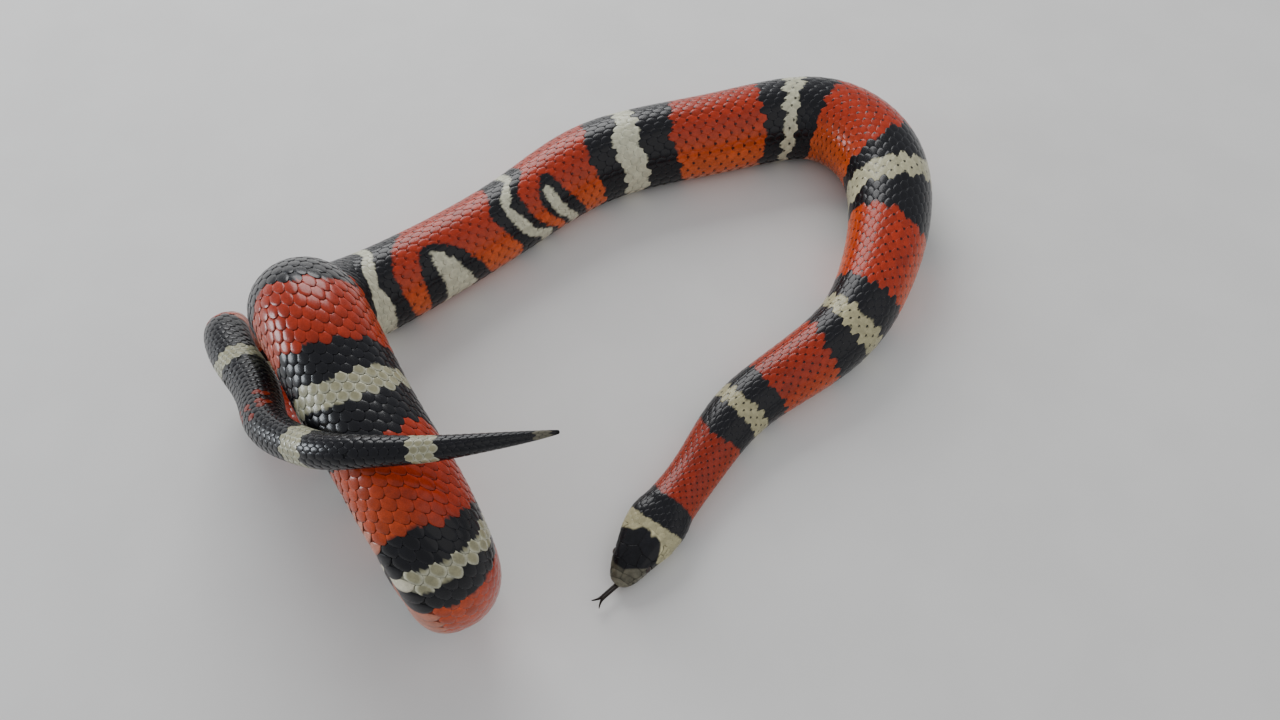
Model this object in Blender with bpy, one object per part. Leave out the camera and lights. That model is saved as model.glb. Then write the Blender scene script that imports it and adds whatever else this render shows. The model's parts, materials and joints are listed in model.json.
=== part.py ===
"""A life-size milk snake, still, resting on the floor.

The animal is one soft tube along a course.  The head comes first, the neck and the wide bend run
back along the floor, the body then climbs over itself in one high turn, folds under, and the tail
turns back over that high turn.  Lengths in the tables are millimetres, +Z is up and the floor is z = 0.
"""
import math

import bmesh
import bpy
import numpy as np

MM = 0.001
GAP = 0.3               # clearance between neighbouring solids
SINK = 0.3              # how far the round belly is pressed flat where it rests
SMOOTHING = 3.0         # spread of the smoothing along the course
SAMPLE = 0.5            # spacing of the worked-out course

# The course from snout to tail tip: x, y, lift of the belly off the floor, half width of the body.
COURSE = (
    # head
    (6.9, -71.8, 1.0, 3.2), (9.1, -67.4, 0.6, 5.0), (12.0, -63.0, 0.2, 6.4), (15.6, -57.6, 0.0, 7.2),
    # neck
    (19.2, -52.2, 0.0, 6.6), (25.1, -43.8, 0.0, 6.3), (31.2, -34.3, 0.0, 6.9), (37.4, -26.0, 0.0, 7.6),
    (45.1, -19.2, 0.0, 8.0), (56.7, -10.7, 0.0, 8.7),
    # wide bend
    (69.3, 1.2, 0.0, 9.4), (78.4, 18.3, 0.0, 10.5), (83.7, 35.3, 0.0, 11.6), (85.5, 51.5, 0.0, 12.4),
    (82.3, 65.9, 0.0, 12.8), (73.8, 75.9, 0.0, 12.8), (61.5, 79.2, 0.0, 12.5),
    # long run behind
    (36.7, 72.9, 0.0, 12.2), (15.1, 66.8, 0.0, 12.1), (-4.5, 57.9, 0.0, 12.0), (-22.5, 42.2, 0.0, 11.0),
    (-39.8, 26.6, 0.0, 11.0), (-54.3, 14.9, 0.0, 11.4),
    # climb
    (-63.8, 7.2, 0.8, 11.8), (-69.5, -1.1, 5.6, 12.1), (-70.4, -10.1, 15.0, 12.3),
    (-67.4, -17.5, 26.5, 12.4), (-62.8, -24.6, 34.6, 12.4),
    # high turn
    (-57.4, -32.9, 36.8, 12.2), (-51.2, -43.5, 35.0, 11.9), (-42.8, -56.6, 33.7, 11.5),
    # fold under
    (-35.8, -66.8, 32.4, 11.4), (-30.4, -75.4, 27.4, 11.4), (-28.4, -78.8, 17.3, 11.4),
    (-30.4, -75.4, 6.4, 11.4), (-36.2, -66.1, 0.7, 11.2),
    # run beneath
    (-44.5, -52.6, 0.0, 10.7), (-55.0, -39.6, 0.0, 9.6), (-67.0, -30.1, 0.0, 8.5), (-79.0, -23.1, 0.2, 7.3),
    # tail turns back
    (-87.3, -16.9, 2.0, 6.7), (-91.4, -11.3, 10.0, 6.1), (-90.6, -14.2, 18.8, 5.7),
    # tail
    (-85.6, -23.8, 23.6, 5.4), (-77.4, -34.6, 29.1, 5.1), (-71.6, -43.8, 34.1, 4.8),
    (-65.9, -53.9, 40.6, 4.4), (-56.6, -61.7, 47.2, 4.0), (-47.6, -66.9, 53.8, 3.6),
    (-37.1, -68.5, 57.3, 3.05), (-28.6, -68.2, 57.9, 2.6), (-18.5, -66.4, 57.8, 1.9),
    (-7.3, -63.7, 57.2, 0.9), (-3.2, -62.6, 57.2, 0.35),
)
MIDDLE = (0.3, 0.6)     # the middle of the footprint in the course's own x and y, which becomes the origin

# Where the back points, at stations along the course (mm from the snout).
BACK = (
    (0.0, (0.0, 0.0, 1.0)), (390.0, (0.0, 0.0, 1.0)), (432.0, (0.35, 0.20, 0.90)),
    (465.0, (0.86, 0.50, 0.10)), (496.0, (0.45, 0.30, 0.85)), (525.0, (0.0, 0.0, 1.0)),
    (552.0, (0.0, 0.0, 1.0)), (576.0, (-0.80, -0.55, 0.25)), (602.0, (-0.45, -0.30, 0.85)),
    (650.0, (-0.25, -0.20, 0.95)), (680.0, (0.0, 0.0, 1.0)), (712.0, (0.0, 0.0, 1.0)),
)

# How tall the body is for its width: the neck is flatter than the trunk.
HEIGHT_STATIONS = (0.0, 24.0, 50.0, 105.0, 560.0, 600.0)
BACK_HEIGHT = (0.76, 0.76, 0.84, 0.98, 0.98, 1.0)
BELLY_DEPTH = (0.76, 0.76, 0.82, 0.92, 0.92, 0.96)
BACK_POWER = 2.0
BELLY_POWER = 2.5

# Cuts between the lengths of the body, as stations along the course.
HEAD_END = 22.0
CUTS = (
    ("neck_01", 54.0), ("neck_02", 88.0), ("body_01", 126.0), ("body_02", 160.0), ("body_03", 193.0),
    ("body_04", 238.0), ("body_05", 284.0), ("body_06", 330.0), ("body_07", 362.0), ("body_08", 398.0),
    ("body_09", 438.0), ("body_10", 466.0), ("body_11", 494.0), ("body_12", 526.0), ("body_13", 556.0),
    ("tail_01", 577.0), ("tail_02", 600.0), ("tail_03", 636.0), ("tail_04", 672.0), ("tail_tip", None),
)
BODY_STEP = 4.8         # ring spacing along the body
TAIL_STEP = 3.4         # ring spacing along the tail
BODY_SIDES = 20
TAIL_SIDES = 14

# The head: distance from the snout, half width, crown height, chin height.
HEAD = (
    (0.0, 0.75, 3.05, 1.75), (0.15, 1.30, 3.45, 1.45), (0.5, 1.95, 3.90, 1.10), (1.2, 2.60, 4.45, 0.70),
    (2.2, 3.20, 5.00, 0.40), (4.1, 4.00, 5.80, 0.12), (6.5, 4.75, 6.60, 0.0), (8.9, 5.45, 7.25, 0.0),
    (11.5, 6.35, 7.85, 0.0), (14.0, 7.05, 8.35, 0.0), (16.5, 7.40, 8.80, 0.0), (19.0, 7.42, 9.15, 0.0),
    (22.0, 7.00, 9.50, 0.0), (24.0, 6.65, 9.70, 0.0),
)
HEAD_STEP = 0.7
CROWN_FACES = 12        # faces round one side of the head from the middle of the crown to the upper lip
JAW_FACES = 6           # and from the lower lip to the middle of the chin
CROWN_POWER = 2.5
JAW_POWER = 2.3
MOUTH = ((0.0, 2.35), (2.0, 2.15), (6.0, 2.25), (10.0, 2.45), (14.5, 3.2))      # height of the mouth line
MOUTH_END = 14.6
MOUTH_DEPTH = 0.34
MOUTH_WIDTH = 0.32
LIP_HEIGHT = 0.36       # from the mouth line to the lip above it and the one below
LIP = 0.14              # how far the upper lip stands over the lower
BROW = (6.9, 0.30, 2.3)         # station, height and half length of the ridge over the eye
NOSTRIL = (1.9, 3.50)           # station and height above the floor
NOSTRIL_RADIUS = 0.42
EYE_STATION = 6.7
EYE_HEIGHT = 4.30
EYE_RADIUS = 1.30
EYE_STANDS_OUT = 0.34   # how far the eye bulges past the cheek

TONGUE_LENGTH = 6.4
TONGUE_FORK = 3.4       # from the lips to the fork
TONGUE_SPREAD = 1.1     # how far each tip strays from the middle
TONGUE_STRAND = 0.31    # radius of each of its two strands
TONGUE_HEIGHT = 2.35
TONGUE_SIDES = 8
TONGUE_STEP = 0.6
TONGUE_TURN = math.radians(20)      # it points a little to the animal's right

RED = (0.62, 0.09, 0.03, 1.0)
BLACK = (0.02, 0.02, 0.025, 1.0)


def spline(knots, values, at):
    """A natural cubic spline through the values, read at the given places."""
    count = len(knots)
    width = np.diff(knots)
    system = np.eye(count)
    right = np.zeros_like(values)
    for i in range(1, count - 1):
        system[i, i - 1:i + 2] = width[i - 1], 2 * (width[i - 1] + width[i]), width[i]
        right[i] = 6 * ((values[i + 1] - values[i]) / width[i] - (values[i] - values[i - 1]) / width[i - 1])
    bend = np.linalg.solve(system, right)
    k = np.clip(np.searchsorted(knots, at, side="right") - 1, 0, count - 2)
    a = ((knots[k + 1] - at) / width[k])[:, None]
    b = ((at - knots[k]) / width[k])[:, None]
    cubic = ((a ** 3 - a) * bend[k] + (b ** 3 - b) * bend[k + 1]) * width[k][:, None] ** 2 / 6
    return a * values[k] + b * values[k + 1] + cubic


def resample(points, values):
    """Points and values at even SAMPLE spacing along the line through the points."""
    run = np.concatenate([[0], np.cumsum(np.linalg.norm(np.diff(points, axis=0), axis=1))])
    stations = np.arange(0, run[-1], SAMPLE)
    points = np.stack([np.interp(stations, run, points[:, i]) for i in range(3)], axis=1)
    return stations, points, np.interp(stations, run, values)


def smooth(values):
    """A bell-shaped moving average along the course, which keeps both ends in place."""
    reach = int(3 * SMOOTHING / SAMPLE)
    offsets = np.arange(-reach, reach + 1) * SAMPLE
    weights = np.exp(-0.5 * (offsets / SMOOTHING) ** 2)
    weights /= weights.sum()
    before = 2 * values[0] - values[reach:0:-1]
    after = 2 * values[-1] - values[-2:-reach - 2:-1]
    padded = np.concatenate([before, values, after])
    return np.stack([np.convolve(padded[:, i], weights, "valid") for i in range(values.shape[1])], axis=1)


def unit(vectors):
    """Each row scaled to length one."""
    return vectors / np.linalg.norm(vectors, axis=-1, keepdims=True)


class Course:
    """The line of the body: its points, directions and half widths, read at any station."""

    def __init__(self):
        rows = np.array(COURSE)
        rows[:, :2] -= MIDDLE
        step = np.linalg.norm(np.diff(rows[:, :3], axis=0), axis=1) ** 0.5
        knots = np.concatenate([[0], np.cumsum(step)])
        fine = np.linspace(0, knots[-1], 6000)
        path = spline(knots, rows, fine)
        self.stations, line, self.radius = resample(path[:, :3], path[:, 3])
        line[:, 2] += np.interp(self.stations, HEIGHT_STATIONS, BELLY_DEPTH) * self.radius - SINK
        self.stations, line, self.radius = resample(smooth(line), self.radius)
        self.points = line
        self.ahead = unit(np.gradient(line, axis=0))
        places = [place for place, _ in BACK]
        aims = np.array([aim for _, aim in BACK])
        aim = np.stack([np.interp(self.stations, places, aims[:, i]) for i in range(3)], axis=1)
        aim = smooth(aim)
        self.side = unit(np.cross(self.ahead, aim))
        self.up = np.cross(self.side, self.ahead)
        self.length = self.stations[-1]

    def read(self, name, at):
        """One of the course's arrays, interpolated at the stations given."""
        array = getattr(self, name)
        if array.ndim == 1:
            return np.interp(at, self.stations, array)
        return np.stack([np.interp(at, self.stations, array[:, i]) for i in range(array.shape[1])], axis=-1)


def oval(angles, half_width, above, below, power_above, power_below):
    """Side and up offsets of a closed section: two superellipse halves that meet at the flanks.

    Angles run from the middle of the back round by the left flank.
    """
    side, up = np.sin(angles), np.cos(angles)
    power = np.where(up > 0, power_above, power_below)
    reach = (np.abs(side) ** power + np.abs(up) ** power) ** (-1 / power)
    return half_width * reach * side, np.where(up > 0, above, below) * reach * up


def ring(course, station, offsets):
    """World points of a section at a station, with nothing below the floor."""
    centre = course.read("points", station)
    side, up = offsets
    points = centre + side[:, None] * course.read("side", station) + up[:, None] * course.read("up", station)
    points[:, 2] = np.maximum(points[:, 2], 0)
    return points


def body_ring(course, station, sides):
    """The section of the neck, trunk or tail at a station."""
    angles = np.arange(sides) * 2 * math.pi / sides
    radius = course.read("radius", station)
    above = radius * np.interp(station, HEIGHT_STATIONS, BACK_HEIGHT)
    below = radius * np.interp(station, HEIGHT_STATIONS, BELLY_DEPTH)
    return ring(course, station, oval(angles, radius, above, below, BACK_POWER, BELLY_POWER))


def head_shape(station):
    """Half width, crown height and chin height of the head at a station."""
    rows = np.array(HEAD)
    shape = spline(rows[:, 0] ** 0.5, rows[:, 1:], np.atleast_1d(station) ** 0.5)[0]
    return shape[0], shape[1], max(shape[2], 0.0)


def bell(distance, width):
    """A smooth bump of height one."""
    return np.exp(-(distance / width) ** 2)


def head_oval(course, station, angles):
    """Side and up offsets of the plain head at a station, before its mouth and brows."""
    axis = course.read("points", station)[2]
    half_width, crown, chin = head_shape(station)
    blend = np.clip((station - 17.0) / 5.0, 0, 1)
    power_above = CROWN_POWER + (BACK_POWER - CROWN_POWER) * blend
    return oval(angles, half_width, crown - axis, axis - chin, power_above, JAW_POWER)


def angles_at(course, station, heights):
    """The angles from the middle of the crown at which the head passes through the heights, highest first."""
    fine = np.linspace(0, math.pi, 181)
    height = course.read("points", station)[2] + head_oval(course, station, fine)[1]
    return np.interp(-np.asarray(heights), -height, fine)


def head_ring(course, station):
    """The section of the head: an oval, then the mouth line between its lips, and the brows."""
    mouth = np.interp(station, [row[0] for row in MOUTH], [row[1] for row in MOUTH])
    upper, line, lower = angles_at(course, station, (mouth + LIP_HEIGHT, mouth, mouth - LIP_HEIGHT))
    crown = np.linspace(0, upper, CROWN_FACES + 1)
    jaw = np.linspace(lower, math.pi, JAW_FACES + 1)
    left = np.concatenate([crown, [line], jaw])
    angles = np.concatenate([left, 2 * math.pi - left[-2:0:-1]])
    side, up = head_oval(course, station, angles)
    half_width = head_shape(station)[0]
    height = course.read("points", station)[2] + up
    out = np.hypot(side, up)
    fade = np.clip((MOUTH_END - station) / 1.2, 0, 1)
    push = -MOUTH_DEPTH * bell(height - mouth, MOUTH_WIDTH) * fade
    push += LIP * bell(height - mouth - 0.75, 0.5) * fade
    push -= LIP * bell(height - mouth + 0.8, 0.7) * fade
    brow_station, brow_height, brow_length = BROW
    brow_angle = np.abs(np.abs(np.arctan2(side, up)) - math.radians(58)) * half_width
    push += brow_height * bell(station - brow_station, brow_length) * bell(brow_angle, 1.0)
    scale = 1 + push / out
    return ring(course, station, (side * scale, up * scale))


def loft(rings):
    """A closed skin over equal rings, with flat ends, as vertices and faces."""
    sides = len(rings[0])
    faces = []
    for i in range(len(rings) - 1):
        for j in range(sides):
            nxt = (j + 1) % sides
            faces.append((i * sides + j, i * sides + nxt, (i + 1) * sides + nxt, (i + 1) * sides + j))
    last = (len(rings) - 1) * sides
    faces.append(tuple(reversed(range(sides))))
    faces.append(tuple(range(last, last + sides)))
    return np.concatenate(rings), faces


def material(name, colour, roughness):
    """A Principled material in one colour."""
    made = bpy.data.materials.new(name)
    made.use_nodes = True
    shader = made.node_tree.nodes["Principled BSDF"]
    shader.inputs["Base Color"].default_value = colour
    shader.inputs["Roughness"].default_value = roughness
    made.diffuse_color = colour
    return made


def add_object(name, vertices, faces, collection, colour, roughness=0.35):
    """A mesh object from millimetre vertices, facing out, shaded smooth."""
    mesh = bpy.data.meshes.new(name)
    mesh.from_pydata((np.asarray(vertices) * MM).tolist(), [], faces)
    tidy = bmesh.new()
    tidy.from_mesh(mesh)
    bmesh.ops.recalc_face_normals(tidy, faces=tidy.faces)
    tidy.to_mesh(mesh)
    tidy.free()
    mesh.shade_smooth()
    mesh.materials.append(material(name, colour, roughness))
    made = bpy.data.objects.new(name, mesh)
    collection.objects.link(made)
    return made


def add_ball(name, centre, radius, segments, rings, collection, colour):
    """A sphere object about a centre."""
    mesh = bpy.data.meshes.new(name)
    ball = bmesh.new()
    bmesh.ops.create_uvsphere(ball, u_segments=segments, v_segments=rings, radius=radius * MM)
    ball.to_mesh(mesh)
    ball.free()
    mesh.shade_smooth()
    mesh.materials.append(material(name, colour, 0.1))
    made = bpy.data.objects.new(name, mesh)
    made.location = np.asarray(centre) * MM
    collection.objects.link(made)
    return made


def stations_between(start, end, step):
    """Evenly spaced stations from start to end, no further apart than the step."""
    return np.linspace(start, end, max(2, math.ceil((end - start) / step) + 1))


def add_length(course, name, start, end, collection):
    """One length of neck, body or tail."""
    is_tail = name.startswith("tail")
    sides = TAIL_SIDES if is_tail else BODY_SIDES
    step = TAIL_STEP if is_tail else BODY_STEP
    rings = [body_ring(course, station, sides) for station in stations_between(start, end, step)]
    vertices, faces = loft(rings)
    colour = BLACK if is_tail else RED
    return add_object(name, vertices, faces, collection, colour)


def cheek_point(course, station, height, left, inward):
    """A point the given depth inside the side of the head, at a station and a height."""
    side, _ = head_oval(course, station, angles_at(course, station, [height]))
    sideways = (side[0] - inward) * (1 if left else -1)
    point = course.read("points", station) + sideways * course.read("side", station)
    point[2] = height
    return point


def cut_with_ball(target, name, centre, radius, cutters):
    """Hollow a round socket in the target."""
    cutter = add_ball(name, centre, radius, 16, 10, cutters, BLACK)
    cutter.hide_render = True
    cutter.display_type = "WIRE"
    cut = target.modifiers.new(name, "BOOLEAN")
    cut.operation = "DIFFERENCE"
    cut.object = cutter


def add_head(course, collection, cutters):
    """The head with its nostrils, and its two eyes set in sockets."""
    front = np.array([0.0, 0.12, 0.3, 0.55, 0.85, 1.2, 1.6, 2.0, 2.5])
    middle = stations_between(3.0, MOUTH_END + 0.4, HEAD_STEP)
    back = stations_between(MOUTH_END + 1.4, HEAD_END - GAP / 2, 1.2)
    rings = [head_ring(course, station) for station in np.concatenate([front, middle, back])]
    vertices, faces = loft(rings)
    head = add_object("head", vertices, faces, collection, BLACK)
    for word, left in (("left", True), ("right", False)):
        centre = cheek_point(course, EYE_STATION, EYE_HEIGHT, left, EYE_RADIUS - EYE_STANDS_OUT)
        add_ball("eye_" + word, centre, EYE_RADIUS, 16, 12, collection, BLACK)
        cut_with_ball(head, "socket_" + word, centre, EYE_RADIUS + GAP, cutters)
        nostril = cheek_point(course, *NOSTRIL, left, 0.0)
        cut_with_ball(head, "nostril_" + word, nostril, NOSTRIL_RADIUS, cutters)


def tongue_strand(root, forward, sideways, sign):
    """Rings of one strand: straight beside its twin to the fork, then bending away and thinning."""
    rings = []
    angles = np.arange(TONGUE_SIDES) * 2 * math.pi / TONGUE_SIDES
    for along in stations_between(0.0, TONGUE_LENGTH, TONGUE_STEP):
        past = max(0.0, (along - TONGUE_FORK) / (TONGUE_LENGTH - TONGUE_FORK))
        radius = TONGUE_STRAND * (1 - 0.62 * past)
        stray = 0.20 + TONGUE_SPREAD * past ** 1.5
        sag = 0.25 * math.sin(along / TONGUE_LENGTH * math.pi)
        centre = root + along * forward + sign * stray * sideways + np.array([0.0, 0.0, sag])
        rings.append(centre + radius * (np.sin(angles)[:, None] * sideways + np.cos(angles)[:, None] * (0, 0, 1)))
    return rings


def add_tongue(course, collection):
    """The forked tongue: two tapering strands joined along their first half."""
    ahead = -course.ahead[0]
    ahead[2] = 0
    ahead = unit(ahead)
    turn = np.array([[math.cos(TONGUE_TURN), math.sin(TONGUE_TURN), 0],
                     [-math.sin(TONGUE_TURN), math.cos(TONGUE_TURN), 0],
                     [0, 0, 1]])
    forward = turn @ ahead
    sideways = np.cross(forward, (0, 0, 1))
    root = course.points[0] + GAP * ahead + 0.15 * forward
    root[2] = TONGUE_HEIGHT
    strands = bpy.data.collections.new("strands")
    for sign in (-1, 1):
        vertices, faces = loft(tongue_strand(root, forward, sideways, sign))
        add_object("strand", vertices, faces, strands, BLACK)
    joined = bpy.data.objects.new("tongue", strands.objects[0].data.copy())
    collection.objects.link(joined)
    joined.data.materials[0].name = "tongue"
    union = joined.modifiers.new("join", "BOOLEAN")
    union.operation = "UNION"
    union.operand_type = "COLLECTION"
    union.collection = strands
    union.solver = "MANIFOLD"
    depsgraph = bpy.context.evaluated_depsgraph_get()
    whole = bpy.data.meshes.new_from_object(joined.evaluated_get(depsgraph))
    joined.modifiers.clear()
    joined.data = whole
    for strand in list(strands.objects):
        bpy.data.objects.remove(strand)
    bpy.data.collections.remove(strands)
    return joined


def main():
    for old in list(bpy.data.objects):
        bpy.data.objects.remove(old)
    collection = bpy.data.collections.new("milk_snake")
    cutters = bpy.data.collections.new("cutters")
    for group in (collection, cutters):
        bpy.context.scene.collection.children.link(group)
    course = Course()
    add_head(course, collection, cutters)
    add_tongue(course, collection)
    start = HEAD_END
    for name, end in CUTS:
        end = course.length if end is None else end
        trim = 0 if name == "tail_tip" else GAP / 2
        add_length(course, name, start + GAP / 2, end - trim, collection)
        start = end


main()
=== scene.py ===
"""The looks of a life-size milk snake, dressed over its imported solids.

One seamless skin follows the same course as the solids, a little inside them.  Rows of overlapping scales,
wide belly plates and the shields of the head lie over it, with the eyes and the tongue as pieces of their
own.  Lengths in the tables are millimetres and angles run from the middle of the back round by the left
flank; meshes are written in metres.
"""
import itertools
import json
import math

import bpy
import numpy as np
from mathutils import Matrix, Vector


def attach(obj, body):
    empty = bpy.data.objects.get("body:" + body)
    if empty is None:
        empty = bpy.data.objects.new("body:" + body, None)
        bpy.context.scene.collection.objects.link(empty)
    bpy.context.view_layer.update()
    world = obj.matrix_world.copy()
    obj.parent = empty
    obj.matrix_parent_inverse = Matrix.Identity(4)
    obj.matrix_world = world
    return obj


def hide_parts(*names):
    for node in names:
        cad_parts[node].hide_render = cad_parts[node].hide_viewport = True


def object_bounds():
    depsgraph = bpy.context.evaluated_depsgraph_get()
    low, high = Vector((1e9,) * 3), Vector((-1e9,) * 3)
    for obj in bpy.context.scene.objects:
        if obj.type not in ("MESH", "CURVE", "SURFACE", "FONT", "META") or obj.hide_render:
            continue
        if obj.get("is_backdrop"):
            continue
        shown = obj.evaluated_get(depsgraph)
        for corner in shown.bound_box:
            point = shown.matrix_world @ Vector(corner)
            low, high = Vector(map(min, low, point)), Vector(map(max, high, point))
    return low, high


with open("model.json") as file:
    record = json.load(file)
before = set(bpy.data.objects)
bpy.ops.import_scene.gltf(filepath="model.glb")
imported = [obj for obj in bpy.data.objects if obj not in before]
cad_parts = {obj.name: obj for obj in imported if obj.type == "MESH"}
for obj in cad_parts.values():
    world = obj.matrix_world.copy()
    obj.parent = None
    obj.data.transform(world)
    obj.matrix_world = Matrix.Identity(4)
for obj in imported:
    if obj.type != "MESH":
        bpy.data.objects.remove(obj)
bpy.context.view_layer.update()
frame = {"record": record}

bl_info = {
    "name": "Milk Snake",
    "version": (1, 0, 0),
    "blender": (4, 5, 0),
    "location": "3D View > Sidebar > Milk Snake",
    "description": "Skin, scales, belly plates, head shields, eyes, tongue and stage of a milk snake",
    "category": "Object",
}

MM = 0.001
SINK = 0.3              # how far the round belly is pressed flat where it rests
SMOOTHING = 3.0         # spread of the smoothing along the course
SAMPLE = 0.5            # spacing of the worked-out course
FINE_POINTS = 6000      # points read from the spline before they are spaced evenly
FLOOR_GAP = 0.01        # the lowest that any point of the animal lies above the floor

# The course from snout to tail tip: x, y, lift of the belly off the floor, half width of the body.
COURSE = (
    # head
    (6.9, -71.8, 1.0, 3.2), (9.1, -67.4, 0.6, 5.0), (12.0, -63.0, 0.2, 6.4), (15.6, -57.6, 0.0, 7.2),
    # neck
    (19.2, -52.2, 0.0, 6.6), (25.1, -43.8, 0.0, 6.3), (31.2, -34.3, 0.0, 6.9), (37.4, -26.0, 0.0, 7.6),
    (45.1, -19.2, 0.0, 8.0), (56.7, -10.7, 0.0, 8.7),
    # wide bend
    (69.3, 1.2, 0.0, 9.4), (78.4, 18.3, 0.0, 10.5), (83.7, 35.3, 0.0, 11.6), (85.5, 51.5, 0.0, 12.4),
    (82.3, 65.9, 0.0, 12.8), (73.8, 75.9, 0.0, 12.8), (61.5, 79.2, 0.0, 12.5),
    # long run behind
    (36.7, 72.9, 0.0, 12.2), (15.1, 66.8, 0.0, 12.1), (-4.5, 57.9, 0.0, 12.0), (-22.5, 42.2, 0.0, 11.0),
    (-39.8, 26.6, 0.0, 11.0), (-54.3, 14.9, 0.0, 11.4),
    # climb
    (-63.8, 7.2, 0.8, 11.8), (-69.5, -1.1, 5.6, 12.1), (-70.4, -10.1, 15.0, 12.3),
    (-67.4, -17.5, 26.5, 12.4), (-62.8, -24.6, 34.6, 12.4),
    # high turn
    (-57.4, -32.9, 36.8, 12.2), (-51.2, -43.5, 35.0, 11.9), (-42.8, -56.6, 33.7, 11.5),
    # fold under
    (-35.8, -66.8, 32.4, 11.4), (-30.4, -75.4, 27.4, 11.4), (-28.4, -78.8, 17.3, 11.4),
    (-30.4, -75.4, 6.4, 11.4), (-36.2, -66.1, 0.7, 11.2),
    # run beneath
    (-44.5, -52.6, 0.0, 10.7), (-55.0, -39.6, 0.0, 9.6), (-67.0, -30.1, 0.0, 8.5), (-79.0, -23.1, 0.2, 7.3),
    # tail turns back
    (-87.3, -16.9, 2.0, 6.7), (-91.4, -11.3, 10.0, 6.1), (-90.6, -14.2, 18.8, 5.7),
    # tail
    (-85.6, -23.8, 23.6, 5.4), (-77.4, -34.6, 29.1, 5.1), (-71.6, -43.8, 34.1, 4.8),
    (-65.9, -53.9, 40.6, 4.4), (-56.6, -61.7, 47.2, 4.0), (-47.6, -66.9, 53.8, 3.6),
    (-37.1, -68.5, 57.3, 3.05), (-28.6, -68.2, 57.9, 2.6), (-18.5, -66.4, 57.8, 1.9),
    (-7.3, -63.7, 57.2, 0.9), (-3.2, -62.6, 57.2, 0.35),
)
MIDDLE = (0.3, 0.6)     # the middle of the footprint in the course's own x and y, which becomes the origin

# Where the back points, at stations along the course (mm from the snout).
BACK = (
    (0.0, (0.0, 0.0, 1.0)), (390.0, (0.0, 0.0, 1.0)), (432.0, (0.35, 0.20, 0.90)),
    (465.0, (0.86, 0.50, 0.10)), (496.0, (0.45, 0.30, 0.85)), (525.0, (0.0, 0.0, 1.0)),
    (552.0, (0.0, 0.0, 1.0)), (576.0, (-0.80, -0.55, 0.25)), (602.0, (-0.45, -0.30, 0.85)),
    (650.0, (-0.25, -0.20, 0.95)), (680.0, (0.0, 0.0, 1.0)), (712.0, (0.0, 0.0, 1.0)),
)

# How tall the body is for its width: the neck is flatter than the trunk.
HEIGHT_STATIONS = (0.0, 24.0, 50.0, 105.0, 560.0, 600.0)
BACK_HEIGHT = (0.76, 0.76, 0.84, 0.98, 0.98, 1.0)
BELLY_DEPTH = (0.76, 0.76, 0.82, 0.92, 0.92, 0.96)
BACK_POWER = 2.0
BELLY_POWER = 2.5

# The head: distance from the snout, half width, crown height, chin height.
HEAD = (
    (0.0, 0.75, 3.05, 1.75), (0.15, 1.30, 3.45, 1.45), (0.5, 1.95, 3.90, 1.10), (1.2, 2.60, 4.45, 0.70),
    (2.2, 3.20, 5.00, 0.40), (4.1, 4.00, 5.80, 0.12), (6.5, 4.75, 6.60, 0.0), (8.9, 5.45, 7.25, 0.0),
    (11.5, 6.35, 7.85, 0.0), (14.0, 7.05, 8.35, 0.0), (16.5, 7.40, 8.80, 0.0), (19.0, 7.42, 9.15, 0.0),
    (22.0, 7.00, 9.50, 0.0), (24.0, 6.65, 9.70, 0.0),
)
HEAD_JOIN = (20.5, 23.5)        # where the head's section gives way to the body's
CROWN_JOIN = (17.0, 22.0)       # where the crown's power gives way to the back's
LEVEL_JOIN = (0.0, 3.5)         # where the widest level passes from the middle of the snout to the course
CROWN_POWER = 2.5
JAW_POWER = 2.3
SNOUT_CAP = 0.66                # stations before 0 close the front of the snout
SNOUT_BULGE = 0.18
TIP_CAP = 0.35                  # stations past the end close the tail tip
MOUTH = ((0.0, 2.35), (2.0, 2.15), (6.0, 2.25), (10.0, 2.45), (14.5, 3.2))      # height of the mouth line
MOUTH_END = 14.6
MOUTH_DEPTH = 0.34
MOUTH_WIDTH = 0.32
MOUTH_FADE = 1.2                # the groove dies out over this length
LIP = 0.14
UPPER_LIP = (0.75, 0.5)         # from the mouth line to the lip's crest, and the crest's half height
LOWER_LIP = (0.8, 0.7)
BROW = (6.9, 0.30, 2.3)         # station, height and half length of the ridge over the eye
BROW_WIDTH = 1.0
BROW_ANGLE = math.radians(58)
NOSTRIL = (1.9, 3.50)           # station and height above the floor
NOSTRIL_RADIUS = 0.34
EYE_STATION = 6.7
EYE_HEIGHT = 4.30
EYE_RADIUS = 1.30
EYE_STANDS_OUT = 0.34           # how far the eye bulges past the cheek
EYE_OPENING = 1.02              # radius of the opening between the shields
SOCKET_DEPTH = 0.5
SOCKET_RIM = (EYE_OPENING - 0.25, EYE_OPENING + 0.1)    # radii over which the socket's wall rises
NOSTRIL_DEPTH = 0.45
NOSTRIL_RIM = (0.1, NOSTRIL_RADIUS)
FLANK_SHARE = 0.55              # sockets and nostrils lie past this share of the half width
LEAST_REACH = 0.3               # the smallest reach that relief is measured against

TONGUE_LENGTH = 7.9
TONGUE_FORK = 5.7
TONGUE_SPREAD = 1.1
TONGUE_STRAND = 0.40
TONGUE_HEIGHT = 2.35
TONGUE_ROOT = -1.2              # from the front of the snout to where the tongue starts, inside the mouth
TONGUE_TURN = math.radians(20)  # it points a little to the animal's right

SKIN_JOIN = (14.0, 26.0)        # where the skin's depth passes from the head's to the body's
THIN_SKIN = 0.36                # share of the full depth on the head
THICK_RADIUS = 11.0             # half width from which the skin has its full depth
THIN_RADIUS = 2.2               # half width below which it thins further, down to LEAST_SKIN
LEAST_SKIN = 0.3

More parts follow.
